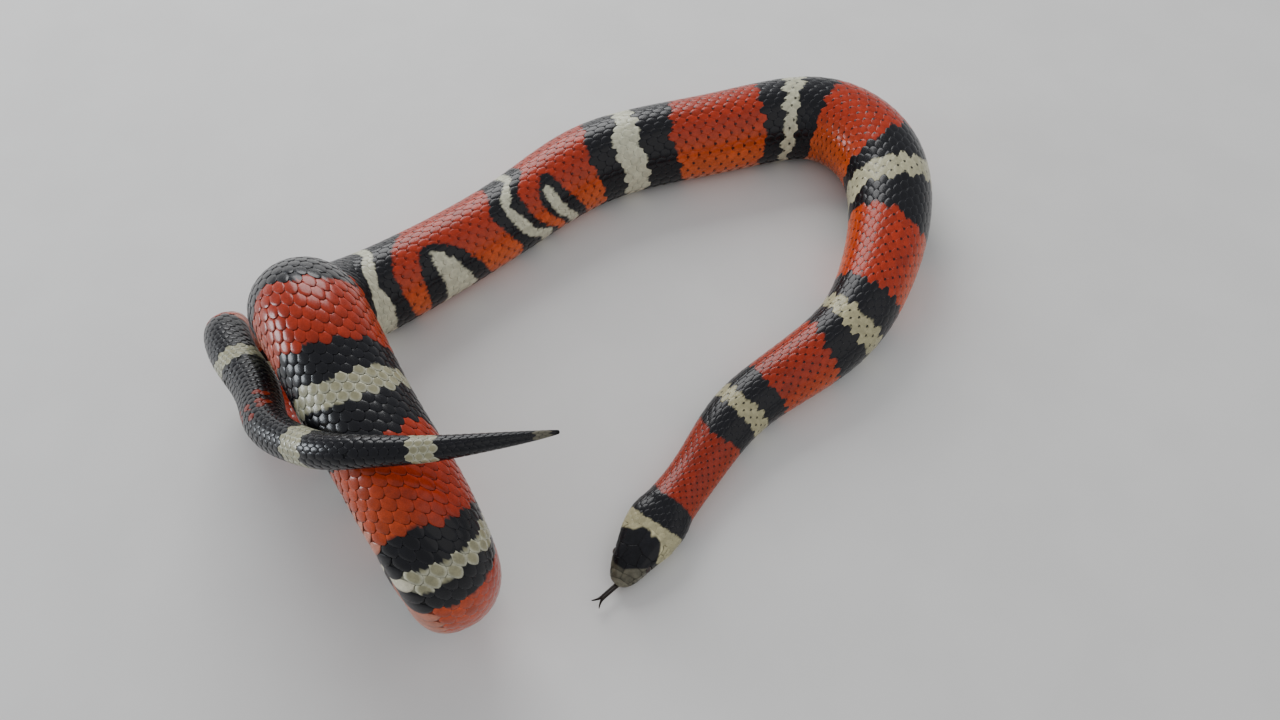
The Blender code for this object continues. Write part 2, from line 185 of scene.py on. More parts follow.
# Length of one scale row along the body, and how many rows go round between the belly plates.
ROW_STATIONS = (14.0, 22.0, 55.0, 95.0, 118.0, 160.0, 330.0, 380.0, 436.0, 450.0, 470.0, 486.0, 560.0, 600.0,
                650.0, 690.0, 700.0)
ROW_LENGTHS = (1.7, 2.3, 3.0, 3.3, 3.5, 3.5, 3.4, 3.0, 2.85, 2.1, 2.1, 2.85, 2.7, 2.4, 2.0, 1.5, 1.3)
# Zones of rows: where they start and end, how many there are, and the angle that they reach on each side.
ROW_ZONES = (
    (13.3, 566.0, 21, 119.0), (566.0, 603.0, 15, 121.0), (603.0, 661.0, 11, 123.0), (661.0, 699.6, 7, 125.0),
)
ROW_SPREAD = 0.16               # how much narrower than even the rows of the back are
BELLY_START = 12.5
VENT = 577.0
BELLY_EDGE = 117.0              # angle from the back at which the belly plates start

# From the pale snout back the rings repeat in this order.  Each line is where the next ring starts, as angle
# and station, or as one station all the way round; None leaves a ring out.
KINDS = ("snout", "black", "cream", "red")
SNOUT, BLACK, CREAM, RED = range(4)
RING_ORDER = (BLACK, CREAM, BLACK, RED)
RING_LINES = (
    ((-95, 6.3), (-62, 5.0), (-40, 3.8), (0, 3.5), (30, 4.9), (65, 6.6), (95, 6.6)),
    ((-120, 11.6), (-60, 11.8), (-25, 12.3), (-12, 14.0), (8, 14.0), (13, 12.8), (20, 13.7),
     (35, 13.0), (48, 11.4), (62, 9.8), (80, 8.8), (115, 9.6)),
    ((-60, 17), (-20, 16.2), (35, 16.2), (85, 17)),
    ((-58, 25), (-23, 23), (15, 23), (55, 23)),
    ((-55, 47), (-12, 44), (20, 44), (58, 45)),
    ((-62, 54), (18, 52), (75, 52)),
    ((-60, 58), (2, 56.5), (78, 58)),
    ((-58, 65), (12, 64), (75, 65)),
    ((-35, 86), (22, 82), (70, 82)),
    ((-58, 94), (15, 90), (100, 92)),
    ((-50, 99), (15, 96), (90, 97)),
    ((-60, 108), (12, 105), (60, 106)),
    ((-62, 134), (-10, 132), (38, 128)),
    ((-80, 138), (-38, 142), (-12, 142), (55, 146)),
    ((-95, 148), (-35, 150), (-12, 150), (58, 152)),
    ((-88, 154), (-25, 158), (38, 163)),
    ((-115, 189), (-48, 185), (25, 182)),
    ((-112, 198), (-38, 195), (30, 190)),
    ((-110, 202), (-40, 200), (32, 196)),
    ((-110, 208), (-45, 207), (32, 205)),
    ((-110, 233), (-40, 236), (32, 232)),
    ((-105, 244), (-38, 246), (32, 244)),
    ((-98, 253), (-35, 255), (15, 250)),
    ((-100, 262), (-35, 264), (35, 258)),
    ((-108, 281), (-92, 284.5), (-70, 287), (-50, 288.5), (-20, 288.5), (-8, 286.5), (10, 282)),
    ((-105, 283), (-78, 289), (-58, 290.5), (-42, 292), (-28, 293), (-20, 291), (2, 288.5), (10, 286)),
    ((-108, 287), (-85, 291.5), (-65, 293.5), (-38, 295), (-22, 294.5), (-10, 293.5), (0, 291),
     (12, 288.5)),
    ((-95, 294), (-70, 296.5), (-40, 299), (-25, 299.5), (-10, 297.5), (12, 295)),
    ((-62, 331), (-35, 331.5), (-10, 329), (8, 326.5), (30, 322)),
    ((-60, 336), (-38, 339), (-22, 336.5), (-10, 335.5), (10, 333)),
    ((-68, 346), (-55, 346.5), (-42, 344.5), (-18, 342.5), (-2, 339.5), (12, 336)),
    352, 368, 376, 381,
    ((-65, 395.6), (-25, 395.6), (5, 394), (38, 391)),
    ((-65, 412), (-42, 410), (8, 408), (28, 407), (60, 405)),
    ((-55, 418), (0, 417), (40, 416), (62, 414)),
    ((-58, 422), (-15, 424), (32, 424), (80, 418)),
    ((-48, 434), (-25, 432), (12, 434), (102, 431)),
    ((-17, 449.5), (45, 449.5), (72, 448.5), (102, 448.5)),
    ((-10, 452), (28, 453), (68, 453), (110, 453)),
    ((2, 456.5), (55, 455.4), (90, 456), (125, 456.2)),
    ((15, 459), (125, 459.4)),
    478, 485, 489, 495, 514, 521, 526, 532, 549, 556, 561, 567,
    # tail
    580,
    ((-90, 596), (-10, 596), (110, 590)),
    ((-90, 602), (-10, 602), (110, 597)),
    None, None, 672.5, 677.5,
)
# Odd marks drawn over the rings: kind and an outline of angle and station.
FLECK_TURN = 14
FLECK_LENGTH = 2
RED_FLECKS = ((-34, 621.5), (-62, 622.0), (-40, 626.2), (-65, 626.0), (-2, 625.6), (-3, 629.5), (34, 624.0))
ODD_MARKS = (
    (BLACK, ((-13, 279), (-18, 276.6), (-28, 276.8), (-40, 276), (-60, 274.8), (-75, 273), (-100, 270.5),
             (-130, 268), (-130, 277.5), (-100, 278.9), (-85, 281.4), (-68, 283.4), (-52, 284.3),
             (-38, 283.6), (-28, 282.1))),
    (CREAM, ((-29, 279.9), (-35, 279.2), (-48, 278.6), (-70, 277.8), (-85, 276.2), (-100, 274.4), (-130, 272),
             (-130, 275), (-100, 277.4), (-85, 279.8), (-70, 281.3), (-58, 281.9), (-45, 281.9),
             (-34, 281.4))),
    (BLACK, ((-130, 324.5), (-75, 324.7), (-50, 324.4), (-28, 322.9), (-18, 321.4), (-15, 319.5),
             (-18, 317.4), (-25, 315.3), (-32, 313.2), (-42, 311.2), (-58, 309.7), (-80, 307.2),
             (-130, 304))),
    (CREAM, ((-28, 319), (-31, 317.3), (-36, 315.8), (-45, 315.8), (-49, 314.3), (-58, 313.8), (-70, 312.9),
             (-82, 311.5), (-130, 309), (-130, 319), (-72, 319.3), (-58, 319.9), (-38, 319.9))),
    *((RED, ((turn - FLECK_TURN, at), (turn, at - FLECK_LENGTH), (turn + FLECK_TURN, at),
             (turn, at + FLECK_LENGTH))) for turn, at in RED_FLECKS),
    (CREAM, ((-180, 644.6), (-35, 643.6), (30, 643.6), (180, 645.6), (180, 652.4), (30, 650.4), (-35, 650.4),
             (-180, 651.4))),
    (SNOUT, ((-181, 696), (181, 696), (181, 698.8), (-181, 698.8))),
)

# Head shields as outlines of station and girth share: 0 is the middle of the crown, 1 the mouth line and
# 2 the middle of the chin.  Those on the middle give their left half, the others are mirrored.
MIDDLE_SHIELDS = (
    (0.0, ((-0.58, 0.0), (-0.58, 0.9), (0.9, 0.965), (1.02, 0.6), (1.3, 0.0))),
    (0.0, ((4.95, 0.0), (5.35, 0.27), (7.7, 0.2), (8.5, 0.24), (9.8, 0.0))),
    (2.0, ((-0.55, 2.0), (-0.55, 1.1), (0.7, 1.04), (0.85, 1.6), (1.3, 2.0))),
)
PAIRED_SHIELDS = (
    # crown
    ((1.32, 0.0), (1.05, 0.52), (2.2, 0.56), (2.85, 0.5), (2.75, 0.0)),
    ((2.75, 0.0), (2.85, 0.5), (3.1, 0.6), (4.4, 0.62), (5.0, 0.56), (5.35, 0.28), (4.95, 0.0)),
    ((5.35, 0.28), (5.0, 0.56), (5.6, 0.61), (7.7, 0.61), (8.4, 0.55), (8.5, 0.24), (7.7, 0.2)),
    ((9.8, 0.0), (8.5, 0.24), (8.4, 0.55), (9.2, 0.6), (12.2, 0.55), (13.9, 0.32), (14.5, 0.0)),
    # nose and cheek
    ((1.05, 0.52), (1.0, 0.85), (1.9, 0.85), (1.9, 0.56)),
    ((1.9, 0.56), (1.9, 0.85), (2.95, 0.85), (2.95, 0.57), (2.2, 0.56)),
    ((2.95, 0.57), (2.95, 0.85), (4.5, 0.85), (4.45, 0.62), (3.1, 0.6)),
    ((4.45, 0.62), (4.5, 0.85), (6.0, 0.87), (6.0, 0.62), (5.0, 0.57)),
    ((7.4, 0.61), (7.4, 0.74), (8.9, 0.72), (8.9, 0.6), (8.4, 0.56)),
    ((7.4, 0.74), (7.4, 0.87), (8.6, 0.86), (8.9, 0.72)),
    # temple
    ((8.9, 0.6), (8.9, 0.72), (11.2, 0.7), (11.0, 0.57), (9.2, 0.6)),
    ((8.9, 0.72), (8.6, 0.86), (9.4, 0.84), (11.0, 0.83), (11.2, 0.7)),
    ((11.0, 0.57), (11.2, 0.66), (13.2, 0.62), (12.9, 0.48), (12.2, 0.55)),
    ((11.2, 0.66), (11.1, 0.75), (13.3, 0.73), (13.2, 0.62)),
    ((11.1, 0.75), (11.0, 0.83), (13.5, 0.83), (13.3, 0.73)),
    # chin
    ((1.3, 2.0), (1.0, 1.5), (1.6, 1.22), (4.6, 1.45), (5.2, 2.0)),
    ((5.2, 2.0), (4.6, 1.45), (5.6, 1.5), (8.2, 1.72), (8.6, 2.0)),
)
UPPER_LIP_SEAMS = (1.0, 2.2, 3.6, 5.2, 7.0, 9.0, 11.2, 13.7)
UPPER_LIP_TOPS = (0.86, 0.86, 0.86, 0.88, 0.88, 0.86, 0.84, 0.83)
LOWER_LIP_SEAMS = (0.75, 2.0, 3.4, 5.0, 6.9, 8.8, 10.6, 12.3, 13.9)
LOWER_LIP_BOTTOM = 1.18
LIP_EDGE = 0.015                # girth share left between a lip and the mouth line


def spline(knots, values, at):
    """A natural cubic spline through the values, read at the given places."""
    count = len(knots)
    width = np.diff(knots)
    system = np.eye(count)
    right = np.zeros_like(values)
    for i in range(1, count - 1):
        system[i, i - 1:i + 2] = width[i - 1], 2 * (width[i - 1] + width[i]), width[i]
        right[i] = 6 * ((values[i + 1] - values[i]) / width[i] - (values[i] - values[i - 1]) / width[i - 1])
    bend = np.linalg.solve(system, right)
    k = np.clip(np.searchsorted(knots, at, side="right") - 1, 0, count - 2)
    a = ((knots[k + 1] - at) / width[k])[:, None]
    b = ((at - knots[k]) / width[k])[:, None]
    cubic = ((a ** 3 - a) * bend[k] + (b ** 3 - b) * bend[k + 1]) * width[k][:, None] ** 2 / 6
    return a * values[k] + b * values[k + 1] + cubic


def resample(points, values):
    """Points and values at even SAMPLE spacing along the line through the points."""
    run = np.concatenate([[0], np.cumsum(np.linalg.norm(np.diff(points, axis=0), axis=1))])
    stations = np.arange(0, run[-1], SAMPLE)
    points = np.stack([np.interp(stations, run, points[:, i]) for i in range(3)], axis=1)
    return stations, points, np.interp(stations, run, values)


def smooth(values):
    """A bell-shaped moving average along the course, which keeps both ends in place."""
    reach = int(3 * SMOOTHING / SAMPLE)
    offsets = np.arange(-reach, reach + 1) * SAMPLE
    weights = np.exp(-0.5 * (offsets / SMOOTHING) ** 2)
    weights /= weights.sum()
    before = 2 * values[0] - values[reach:0:-1]
    after = 2 * values[-1] - values[-2:-reach - 2:-1]
    padded = np.concatenate([before, values, after])
    return np.stack([np.convolve(padded[:, i], weights, "valid") for i in range(values.shape[1])], axis=1)


def unit(vectors):
    """Each row scaled to length one."""
    return vectors / np.linalg.norm(vectors, axis=-1, keepdims=True)


class Course:
    """The line of the body: its points, directions and half widths, read at any station."""

    def __init__(self):
        rows = np.array(COURSE)
        rows[:, :2] -= MIDDLE
        step = np.linalg.norm(np.diff(rows[:, :3], axis=0), axis=1) ** 0.5
        knots = np.concatenate([[0], np.cumsum(step)])
        fine = np.linspace(0, knots[-1], FINE_POINTS)
        path = spline(knots, rows, fine)
        self.stations, line, self.radius = resample(path[:, :3], path[:, 3])
        line[:, 2] += np.interp(self.stations, HEIGHT_STATIONS, BELLY_DEPTH) * self.radius - SINK
        self.stations, line, self.radius = resample(smooth(line), self.radius)
        self.points = line
        self.ahead = unit(np.gradient(line, axis=0))
        places = [place for place, _ in BACK]
        aims = np.array([aim for _, aim in BACK])
        aim = np.stack([np.interp(self.stations, places, aims[:, i]) for i in range(3)], axis=1)
        aim = smooth(aim)
        self.side = unit(np.cross(self.ahead, aim))
        self.up = np.cross(self.side, self.ahead)
        self.length = self.stations[-1]

    def read(self, name, at):
        """One of the course's arrays, interpolated at the stations given."""
        array = getattr(self, name)
        if array.ndim == 1:
            return np.interp(at, self.stations, array)
        return np.stack([np.interp(at, self.stations, array[:, i]) for i in range(array.shape[1])], axis=-1)


COURSE_LINE = Course()


def bell(distance, width):
    """A smooth bump of height one."""
    return np.exp(-(distance / width) ** 2)


def ease(value, start, end):
    """0 before the start, 1 past the end, and an S curve between them."""
    t = np.clip((value - start) / (end - start), 0, 1)
    return t * t * (3 - 2 * t)


def oval(angles, half_width, above, below, power_above, power_below):
    """Side and up offsets of a closed section: two superellipse halves that pass gently into each other."""
    side, up = np.sin(angles), np.cos(angles)
    power = power_above + (power_below - power_above) * ease(-up, -0.05, 0.75)
    reach = (np.abs(side) ** power + np.abs(up) ** power) ** (-1 / power)
    return half_width * reach * side, np.where(up > 0, above, below) * reach * up


def section(stations):
    """Half width, height above and depth below the widest level, the lift of that level over the course, and
    the two superellipse powers.

    The head's own table gives way to the body's round section over HEAD_JOIN, and near the snout's tip the
    widest level moves to the middle of the snout.
    """
    radius = COURSE_LINE.read("radius", stations)
    axis = COURSE_LINE.read("points", stations)[..., 2]
    above = radius * np.interp(stations, HEIGHT_STATIONS, BACK_HEIGHT)
    below = radius * np.interp(stations, HEIGHT_STATIONS, BELLY_DEPTH)
    rows = np.array(HEAD)
    within = np.clip(stations, 0, rows[-1, 0])
    shape = spline(rows[:, 0] ** 0.5, rows[:, 1:], within.ravel() ** 0.5).reshape(within.shape + (3,))
    half_width, crown, chin = shape[..., 0], shape[..., 1], np.maximum(shape[..., 2], 0)
    level = (crown + chin) / 2
    level = level + (axis - level) * ease(stations, *LEVEL_JOIN)
    body = ease(stations, *HEAD_JOIN)
    half_width = half_width + (radius - half_width) * body
    head_above, head_below = crown - level, level - chin
    above = head_above + (above - head_above) * body
    below = head_below + (below - head_below) * body
    lift = (level - axis) * (1 - body)
    power_above = CROWN_POWER + (BACK_POWER - CROWN_POWER) * ease(stations, *CROWN_JOIN)
    power_below = JAW_POWER + (BELLY_POWER - JAW_POWER) * body
    return half_width, above, below, lift, power_above, power_below


def mouth_height(stations):
    """Height of the mouth line above the floor."""
    return np.interp(stations, *np.transpose(MOUTH))


def relief(stations, side, up, height, half_width, pits):
    """How far the head stands out from its plain oval: the mouth groove between its lips, the ridge over the
    eye and, where asked, the pits of the nostrils and the sockets of the eyes.
    """
    over_mouth = height - mouth_height(stations)
    fade = np.clip((MOUTH_END - stations) / MOUTH_FADE, 0, 1)
    push = -MOUTH_DEPTH * bell(over_mouth, MOUTH_WIDTH) * fade
    push += LIP * bell(over_mouth - UPPER_LIP[0], UPPER_LIP[1]) * fade
    push -= LIP * bell(over_mouth + LOWER_LIP[0], LOWER_LIP[1]) * fade
    brow_station, brow_height, brow_length = BROW
    brow_angle = np.abs(np.abs(np.arctan2(side, up)) - BROW_ANGLE) * half_width
    push += brow_height * bell(stations - brow_station, brow_length) * bell(brow_angle, BROW_WIDTH)
    if pits:
        flank = np.abs(side) > FLANK_SHARE * half_width
        eye = np.hypot(stations - EYE_STATION, height - EYE_HEIGHT)
        push -= SOCKET_DEPTH * (1 - ease(eye, *SOCKET_RIM)) * flank
        nostril = np.hypot(stations - NOSTRIL[0], height - NOSTRIL[1])
        push -= NOSTRIL_DEPTH * (1 - ease(nostril, *NOSTRIL_RIM)) * flank
    return push


def surface(stations, angles, out=0.0, pits=False, plain=False):
    """Millimetre points of the animal's outside at stations and angles, moved outwards by a distance.

    A point is the course's point, plus the section's side and up offsets along the course's own directions.
    Stations before 0 shrink the section to close the snout, and those past the end close the tail tip.
    """
    stations, angles, out = np.broadcast_arrays(np.asarray(stations, float), angles, out)
    half_width, above, below, lift, power_above, power_below = section(stations)
    side, up = oval(angles, half_width + out, above + out, below + out, power_above, power_below)
    centre = COURSE_LINE.read("points", stations)
    ahead = COURSE_LINE.read("ahead", stations)
    up_way = COURSE_LINE.read("up", stations)
    if not plain:
        height = centre[..., 2] + lift + up
        push = relief(stations, side, up, height, half_width, pits)
        scale = 1 + push / np.maximum(np.hypot(side, up), LEAST_REACH)
        side, up = side * scale, up * scale
    front = np.clip(-stations / SNOUT_CAP, 0, 1)
    past = np.clip((stations - COURSE_LINE.length) / TIP_CAP, 0, 1)
    shrink = (1 - front) * np.sqrt(1 - past ** 2)
    along = past * TIP_CAP - SNOUT_BULGE * (1 - (1 - front) ** 2) - out * (front > 0)
    points = centre + (side * shrink)[..., None] * COURSE_LINE.read("side", stations)
    points += (up * shrink + lift)[..., None] * up_way + along[..., None] * ahead
    points[..., 2] = np.maximum(points[..., 2], FLOOR_GAP)
    return points


def skin_depth(stations, full):
    """Depth of the skin under the outside: less on the head and on thin lengths, where scales are thinner."""
    radius = COURSE_LINE.read("radius", stations)
    thick = ease(stations, *SKIN_JOIN) * np.clip(radius / THICK_RADIUS, 0, 1)
    thin = np.clip(radius / THIN_RADIUS, LEAST_SKIN, 1)
    return full * (THIN_SKIN + (1 - THIN_SKIN) * thick) * thin


HALF_TURN_POINTS = 241          # points on half a section where its girth is measured


class Girth:
    """The head's girth shares, turned into angles.

    For each station the length of the section is added up from the middle of the crown; the share is 1 where
    it reaches the mouth line and 2 at the middle of the chin.
    """

    STEP = 0.1
    SHARES = 161
    LAST_STATION = 17

    def __init__(self):
        self.stations = np.arange(0, self.LAST_STATION, self.STEP)
        fine = np.linspace(0, math.pi, HALF_TURN_POINTS)
        points = surface(self.stations[:, None], fine[None, :], plain=True)
        run = np.linalg.norm(np.diff(points, axis=1), axis=2)
        run = np.concatenate([np.zeros((len(run), 1)), np.cumsum(run, axis=1)], axis=1)
        share_row = np.linspace(0, 2, self.SHARES)
        self.angles = np.empty((len(run), self.SHARES))
        self.upper = np.empty(len(run))
        self.lower = np.empty(len(run))
        for i, station in enumerate(self.stations):
            upper = np.interp(-mouth_height(station), -points[i, :, 2], run[i])
            lower = run[i, -1] - upper
            share = np.where(run[i] <= upper, run[i] / upper, 1 + (run[i] - upper) / lower)
            self.angles[i] = np.interp(share_row, share, fine)
            self.upper[i], self.lower[i] = upper, lower

    def angle(self, stations, shares):
        """Angles at stations and girth shares; shares under 0 or over 2 lie on the right."""
        folded = np.abs(shares)
        right = (shares < 0) | (folded > 2)
        folded = np.where(folded > 2, 4 - folded, folded)
        row = np.clip(stations / self.STEP, 0, len(self.stations) - 1.001)
        column = np.clip(folded * (self.SHARES - 1) / 2, 0, self.SHARES - 1.001)
        i, j = row.astype(int), column.astype(int)
        f, g = row - i, column - j
        near = self.angles[i, j] * (1 - g) + self.angles[i, j + 1] * g
        far = self.angles[i + 1, j] * (1 - g) + self.angles[i + 1, j + 1] * g
        angle = near * (1 - f) + far * f
        return np.where(right, -angle, angle)

    def share_at_height(self, station, height):
        """The girth share at which the head's side passes a height."""
        shares = np.linspace(0.2, 1.8, self.SHARES)
        stations = np.full(self.SHARES, station)
        points = surface(stations, self.angle(stations, shares), plain=True)
        return np.interp(-height, -points[:, 2], shares)


GIRTH = Girth()


def marking(stations, angles):
    """Which kind of marking each point has, as an index into KINDS: the last ring whose line it is past, with
    the odd marks drawn over the rings.  A line's station is read at the point's angle, all the way round.
    """
    degrees = np.degrees(angles)
    kinds = np.full(stations.shape, SNOUT)
    for kind, line in zip(itertools.cycle(RING_ORDER), RING_LINES):
        if line is not None:
            turns, edge = zip(*line) if isinstance(line, tuple) else ((0,), (line,))
            kinds = np.where(stations >= np.interp(degrees, turns, edge, period=360), kind, kinds)
    wrapped = (degrees + 180) % 360 - 180
    for kind, outline in ODD_MARKS:
        within = np.zeros(stations.shape, bool)
        for (turn, at), (next_turn, next_at) in zip(outline, outline[1:] + outline[:1]):
            crossed = (at > stations) != (next_at > stations)
            share = (stations - at) / (next_at - at or 1)
            within ^= crossed & (wrapped < turn + share * (next_turn - turn))
        kinds = np.where(within, kind, kinds)
    return kinds


ALONG_MARGIN = 0.01             # left bare at the ends of each strip of the flat layout
ROUND_MARGIN = 0.02             # left bare at its sides, as a share of its width
PATCH = 0.003                   # size of one scale on the flat layout


def unwrap(stations, angles):
    """Place on the skin's flat layout: three strips, each a third of the length and the whole girth."""
    third = COURSE_LINE.length / 3
    strip = np.clip(np.floor(stations / third), 0, 2)
    along = ALONG_MARGIN + (1 - 2 * ALONG_MARGIN) * (stations - strip * third) / third
    round_share = ROUND_MARGIN + (1 - 2 * ROUND_MARGIN) * angles / (2 * math.pi)
    return np.stack([along, (strip + round_share) / 3], axis=-1)


def add_piece(name, points, faces, material, slot, colours, stands_for=(), layout=None, **layers):
    """A mesh object of the animal from millimetre points and a list of equal-sided face arrays.

    colours is one colour a point, layout one OFBake place a face corner or a point, and every other keyword
    a layer of its own: two columns make a UV map and one column makes a number on each point.
    """
    corners = np.concatenate([np.asarray(block).ravel() for block in faces])
    sides = np.concatenate([np.full(len(block), np.shape(block)[1]) for block in faces])
    mesh = bpy.data.meshes.new(name)
    mesh.vertices.add(len(points))
    mesh.vertices.foreach_set("co", (np.asarray(points) * MM).astype(np.float32).ravel())
    mesh.loops.add(len(corners))
    mesh.loops.foreach_set("vertex_index", corners.astype(np.int32))
    mesh.polygons.add(len(sides))
    mesh.polygons.foreach_set("loop_start", np.concatenate([[0], np.cumsum(sides)[:-1]]).astype(np.int32))
    mesh.update(calc_edges=True)
    mesh.shade_smooth()
    whole = np.concatenate([colours, np.ones((len(colours), 1))], axis=1)
    mesh.color_attributes.new("colour", "FLOAT_COLOR", "POINT").data.foreach_set("color", whole.ravel())
    maps = {"OFBake": layout} if layout is not None else {}
    maps.update({key: value for key, value in layers.items() if np.ndim(value) == 2})
    for key, value in maps.items():
        value = value if len(value) == len(corners) else value[corners]
        mesh.uv_layers.new(name=key).data.foreach_set("uv", value.astype(np.float32).ravel())
    for key, value in layers.items():
        if np.ndim(value) == 1:
            mesh.attributes.new(key, "FLOAT", "POINT").data.foreach_set("value", value.astype(np.float32))
    mesh.materials.append(material)
    piece = bpy.data.objects.new(name, mesh)
    bpy.context.scene.collection.objects.link(piece)
    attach(piece, "root")
    if stands_for:
        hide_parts(*stands_for)


def grid_faces(rows, columns, closed=False):
    """Four-sided faces of a grid of points, whose columns may close on themselves."""
    across = columns if closed else columns - 1
    i, j = np.meshgrid(np.arange(rows - 1), np.arange(across), indexing="ij")
    nxt = (j + 1) % columns
    corners = [i * columns + j, i * columns + nxt, (i + 1) * columns + nxt, (i + 1) * columns + j]
    return np.stack([corner.ravel() for corner in corners], axis=1)


def closed_faces(rows, columns, first_pole, last_pole):
    """Faces of a closed tube of rings: the four-sided ones, then a fan on a pole at each end."""
    j = np.arange(columns)
    nxt = (j + 1) % columns
    last = (rows - 1) * columns
    front = np.stack([nxt, j, np.full(columns, first_pole)], axis=1)
    back = np.stack([last + j, last + nxt, np.full(columns, last_pole)], axis=1)
    return grid_faces(rows, columns, closed=True), front, back


def repeat_faces(faces, points_each, count):
    """The faces of one template, repeated over as many copies of its points."""
    shift = np.arange(count)[:, None, None] * points_each
    return (np.asarray(faces)[None] + shift).reshape(-1, np.shape(faces)[1])


def rgb(colour):
    """A colour setting as an array."""
    return np.array(list(colour))


def blend(colours, other, share):
    """Colours brought towards another one, by a share for each point."""
    return colours + (rgb(other) - colours) * share[..., None]


# Red on the flanks is brighter and more orange, partly the animal's own colour and partly painted light of
# lit flanks.
FLANK_TURN = (0.5, 1.8)         # angles over which red passes from the back's to the flank's, whose brightness is partly painted light
FLANK_GROWS = (40, 120)         # stations over which it comes to differ in full
FLANK_AT_HEAD = 0.3
FLANK_FADES = (340, 400)        # stations over which most of the difference goes again
FLANK_LOST = 0.8
# The neck's red is darkened as painted shade, by NECK_PAINTED_SHADE, fading out further back.
NECK_PAINTED_SHADE_FADES = (45, 120)        # stations over which the painted shade on the neck's red fades out
NECK_PAINTED_SHADE = 0.28
CREAM_PALES = (90, 240)         # stations over which the front's yellower cream turns pale


def colour_of(kinds, stations, angles, colours):
    """Linear colours of the kinds of marking, from the colour settings.

    Red is brighter and more orange on the flanks than on the back, partly the animal's own colour and partly
    painted light, and darker on the neck as painted shade; cream is yellower towards the head.
    """
    made = np.array([rgb(getattr(colours, kind)) for kind in KINDS])[kinds]
    turn = np.abs((angles + math.pi) % (2 * math.pi) - math.pi)
    red = kinds == RED
    # The flanks' brighter red: partly the animal's own colour, partly painted light.
    reach = ease(stations, *FLANK_GROWS) * (1 - FLANK_LOST * ease(stations, *FLANK_FADES))
    side = ease(turn, *FLANK_TURN) * red * (FLANK_AT_HEAD + (1 - FLANK_AT_HEAD) * reach)
    # Painted shade: red darkened on the neck.
    made = made * (1 - NECK_PAINTED_SHADE * red * (1 - ease(stations, *NECK_PAINTED_SHADE_FADES)))[..., None]
    made = blend(made, colours.red_flank_and_painted_light, side)
    return blend(made, colours.cream_front, (1 - ease(stations, *CREAM_PALES)) * (kinds == CREAM))


def link(tree, source, target):
    """Joins an output socket to an input socket."""
    tree.links.new(source, target)


def add_node(tree, kind, **settings):
    """A node with its settings: names of sockets set their value, other names set the node."""
    node = tree.nodes.new(kind)
    for key, value in settings.items():
        if key in node.inputs:
            node.inputs[key].default_value = value
        else:
            setattr(node, key, value)
    return node


def noise(tree, place, scale, detail=3.0):
    """Noise of so many waves to the metre on the object's own coordinates, as a 0 to 1 value."""
    node = add_node(tree, "ShaderNodeTexNoise", Scale=scale, Detail=detail)
    link(tree, place, node.inputs["Vector"])
    return node.outputs["Fac"]


def ranged(tree, value, low, high, start=0.35, end=0.65):
    """The value from start to end, brought to low to high."""
    node = add_node(tree, "ShaderNodeMapRange", interpolation_type="SMOOTHSTEP")
    for socket, number in zip(("From Min", "From Max", "To Min", "To Max"), (start, end, low, high)):
        node.inputs[socket].default_value = number
    link(tree, value, node.inputs["Value"])
    return node.outputs["Result"]


def multiplied(tree, first, second):
    """One value times another."""
    node = add_node(tree, "ShaderNodeMath", operation="MULTIPLY")
    link(tree, first, node.inputs[0])
    link(tree, second, node.inputs[1])
    return node.outputs["Value"]


def shaded(tree, colour, amount):
    """A colour with each of its parts times a value."""
    node = add_node(tree, "ShaderNodeVectorMath", operation="SCALE")
    link(tree, colour, node.inputs[0])
    link(tree, amount, node.inputs["Scale"])
    return node.outputs["Vector"]


def new_material(name, sockets, tint=None):
    """A material with values set on its shader's own sockets, with its node tree, its shader, the object's
    own coordinates and its colour: one tint, or the colour of each point.
    """
    material = bpy.data.materials.new(name)
    material.use_nodes = True
    tree = material.node_tree
    shader = tree.nodes["Principled BSDF"]
    for socket, value in sockets.items():
        shader.inputs[socket].default_value = value
    place = add_node(tree, "ShaderNodeTexCoord").outputs["Object"]
    if tint is None:
        colour = add_node(tree, "ShaderNodeAttribute", attribute_name="colour").outputs["Color"]
    else:
        colour = add_node(tree, "ShaderNodeRGB").outputs[0]
        colour.default_value = (*tint, 1)
    return material, tree, shader, place, colour


def clouded_material(name, sockets, wave, brightness, detail=3.0, tint=None):
    """A plain material: its colour times noise of so many waves to the metre, between two brightnesses."""
    material, tree, shader, place, colour = new_material(name, sockets, tint)
    cloud = ranged(tree, noise(tree, place, wave, detail), *brightness)
    link(tree, shaded(tree, colour, cloud), shader.inputs["Base Color"])
    return material


SLOW_CLOUD = 0.12               # waves of the slow cloud for one of the fine noise
QUICK_CLOUD = 0.6
QUICK_SPREAD = (0.93, 1.06)
SPOT_PLACE = (0.90, 0.5, 0.0)   # middle of the dark spot, on a scale from 0 to 1 along and across
SPOT_EDGE = (0.09, 0.16)        # its inner and outer radius
SPOT_SHADE = 0.04


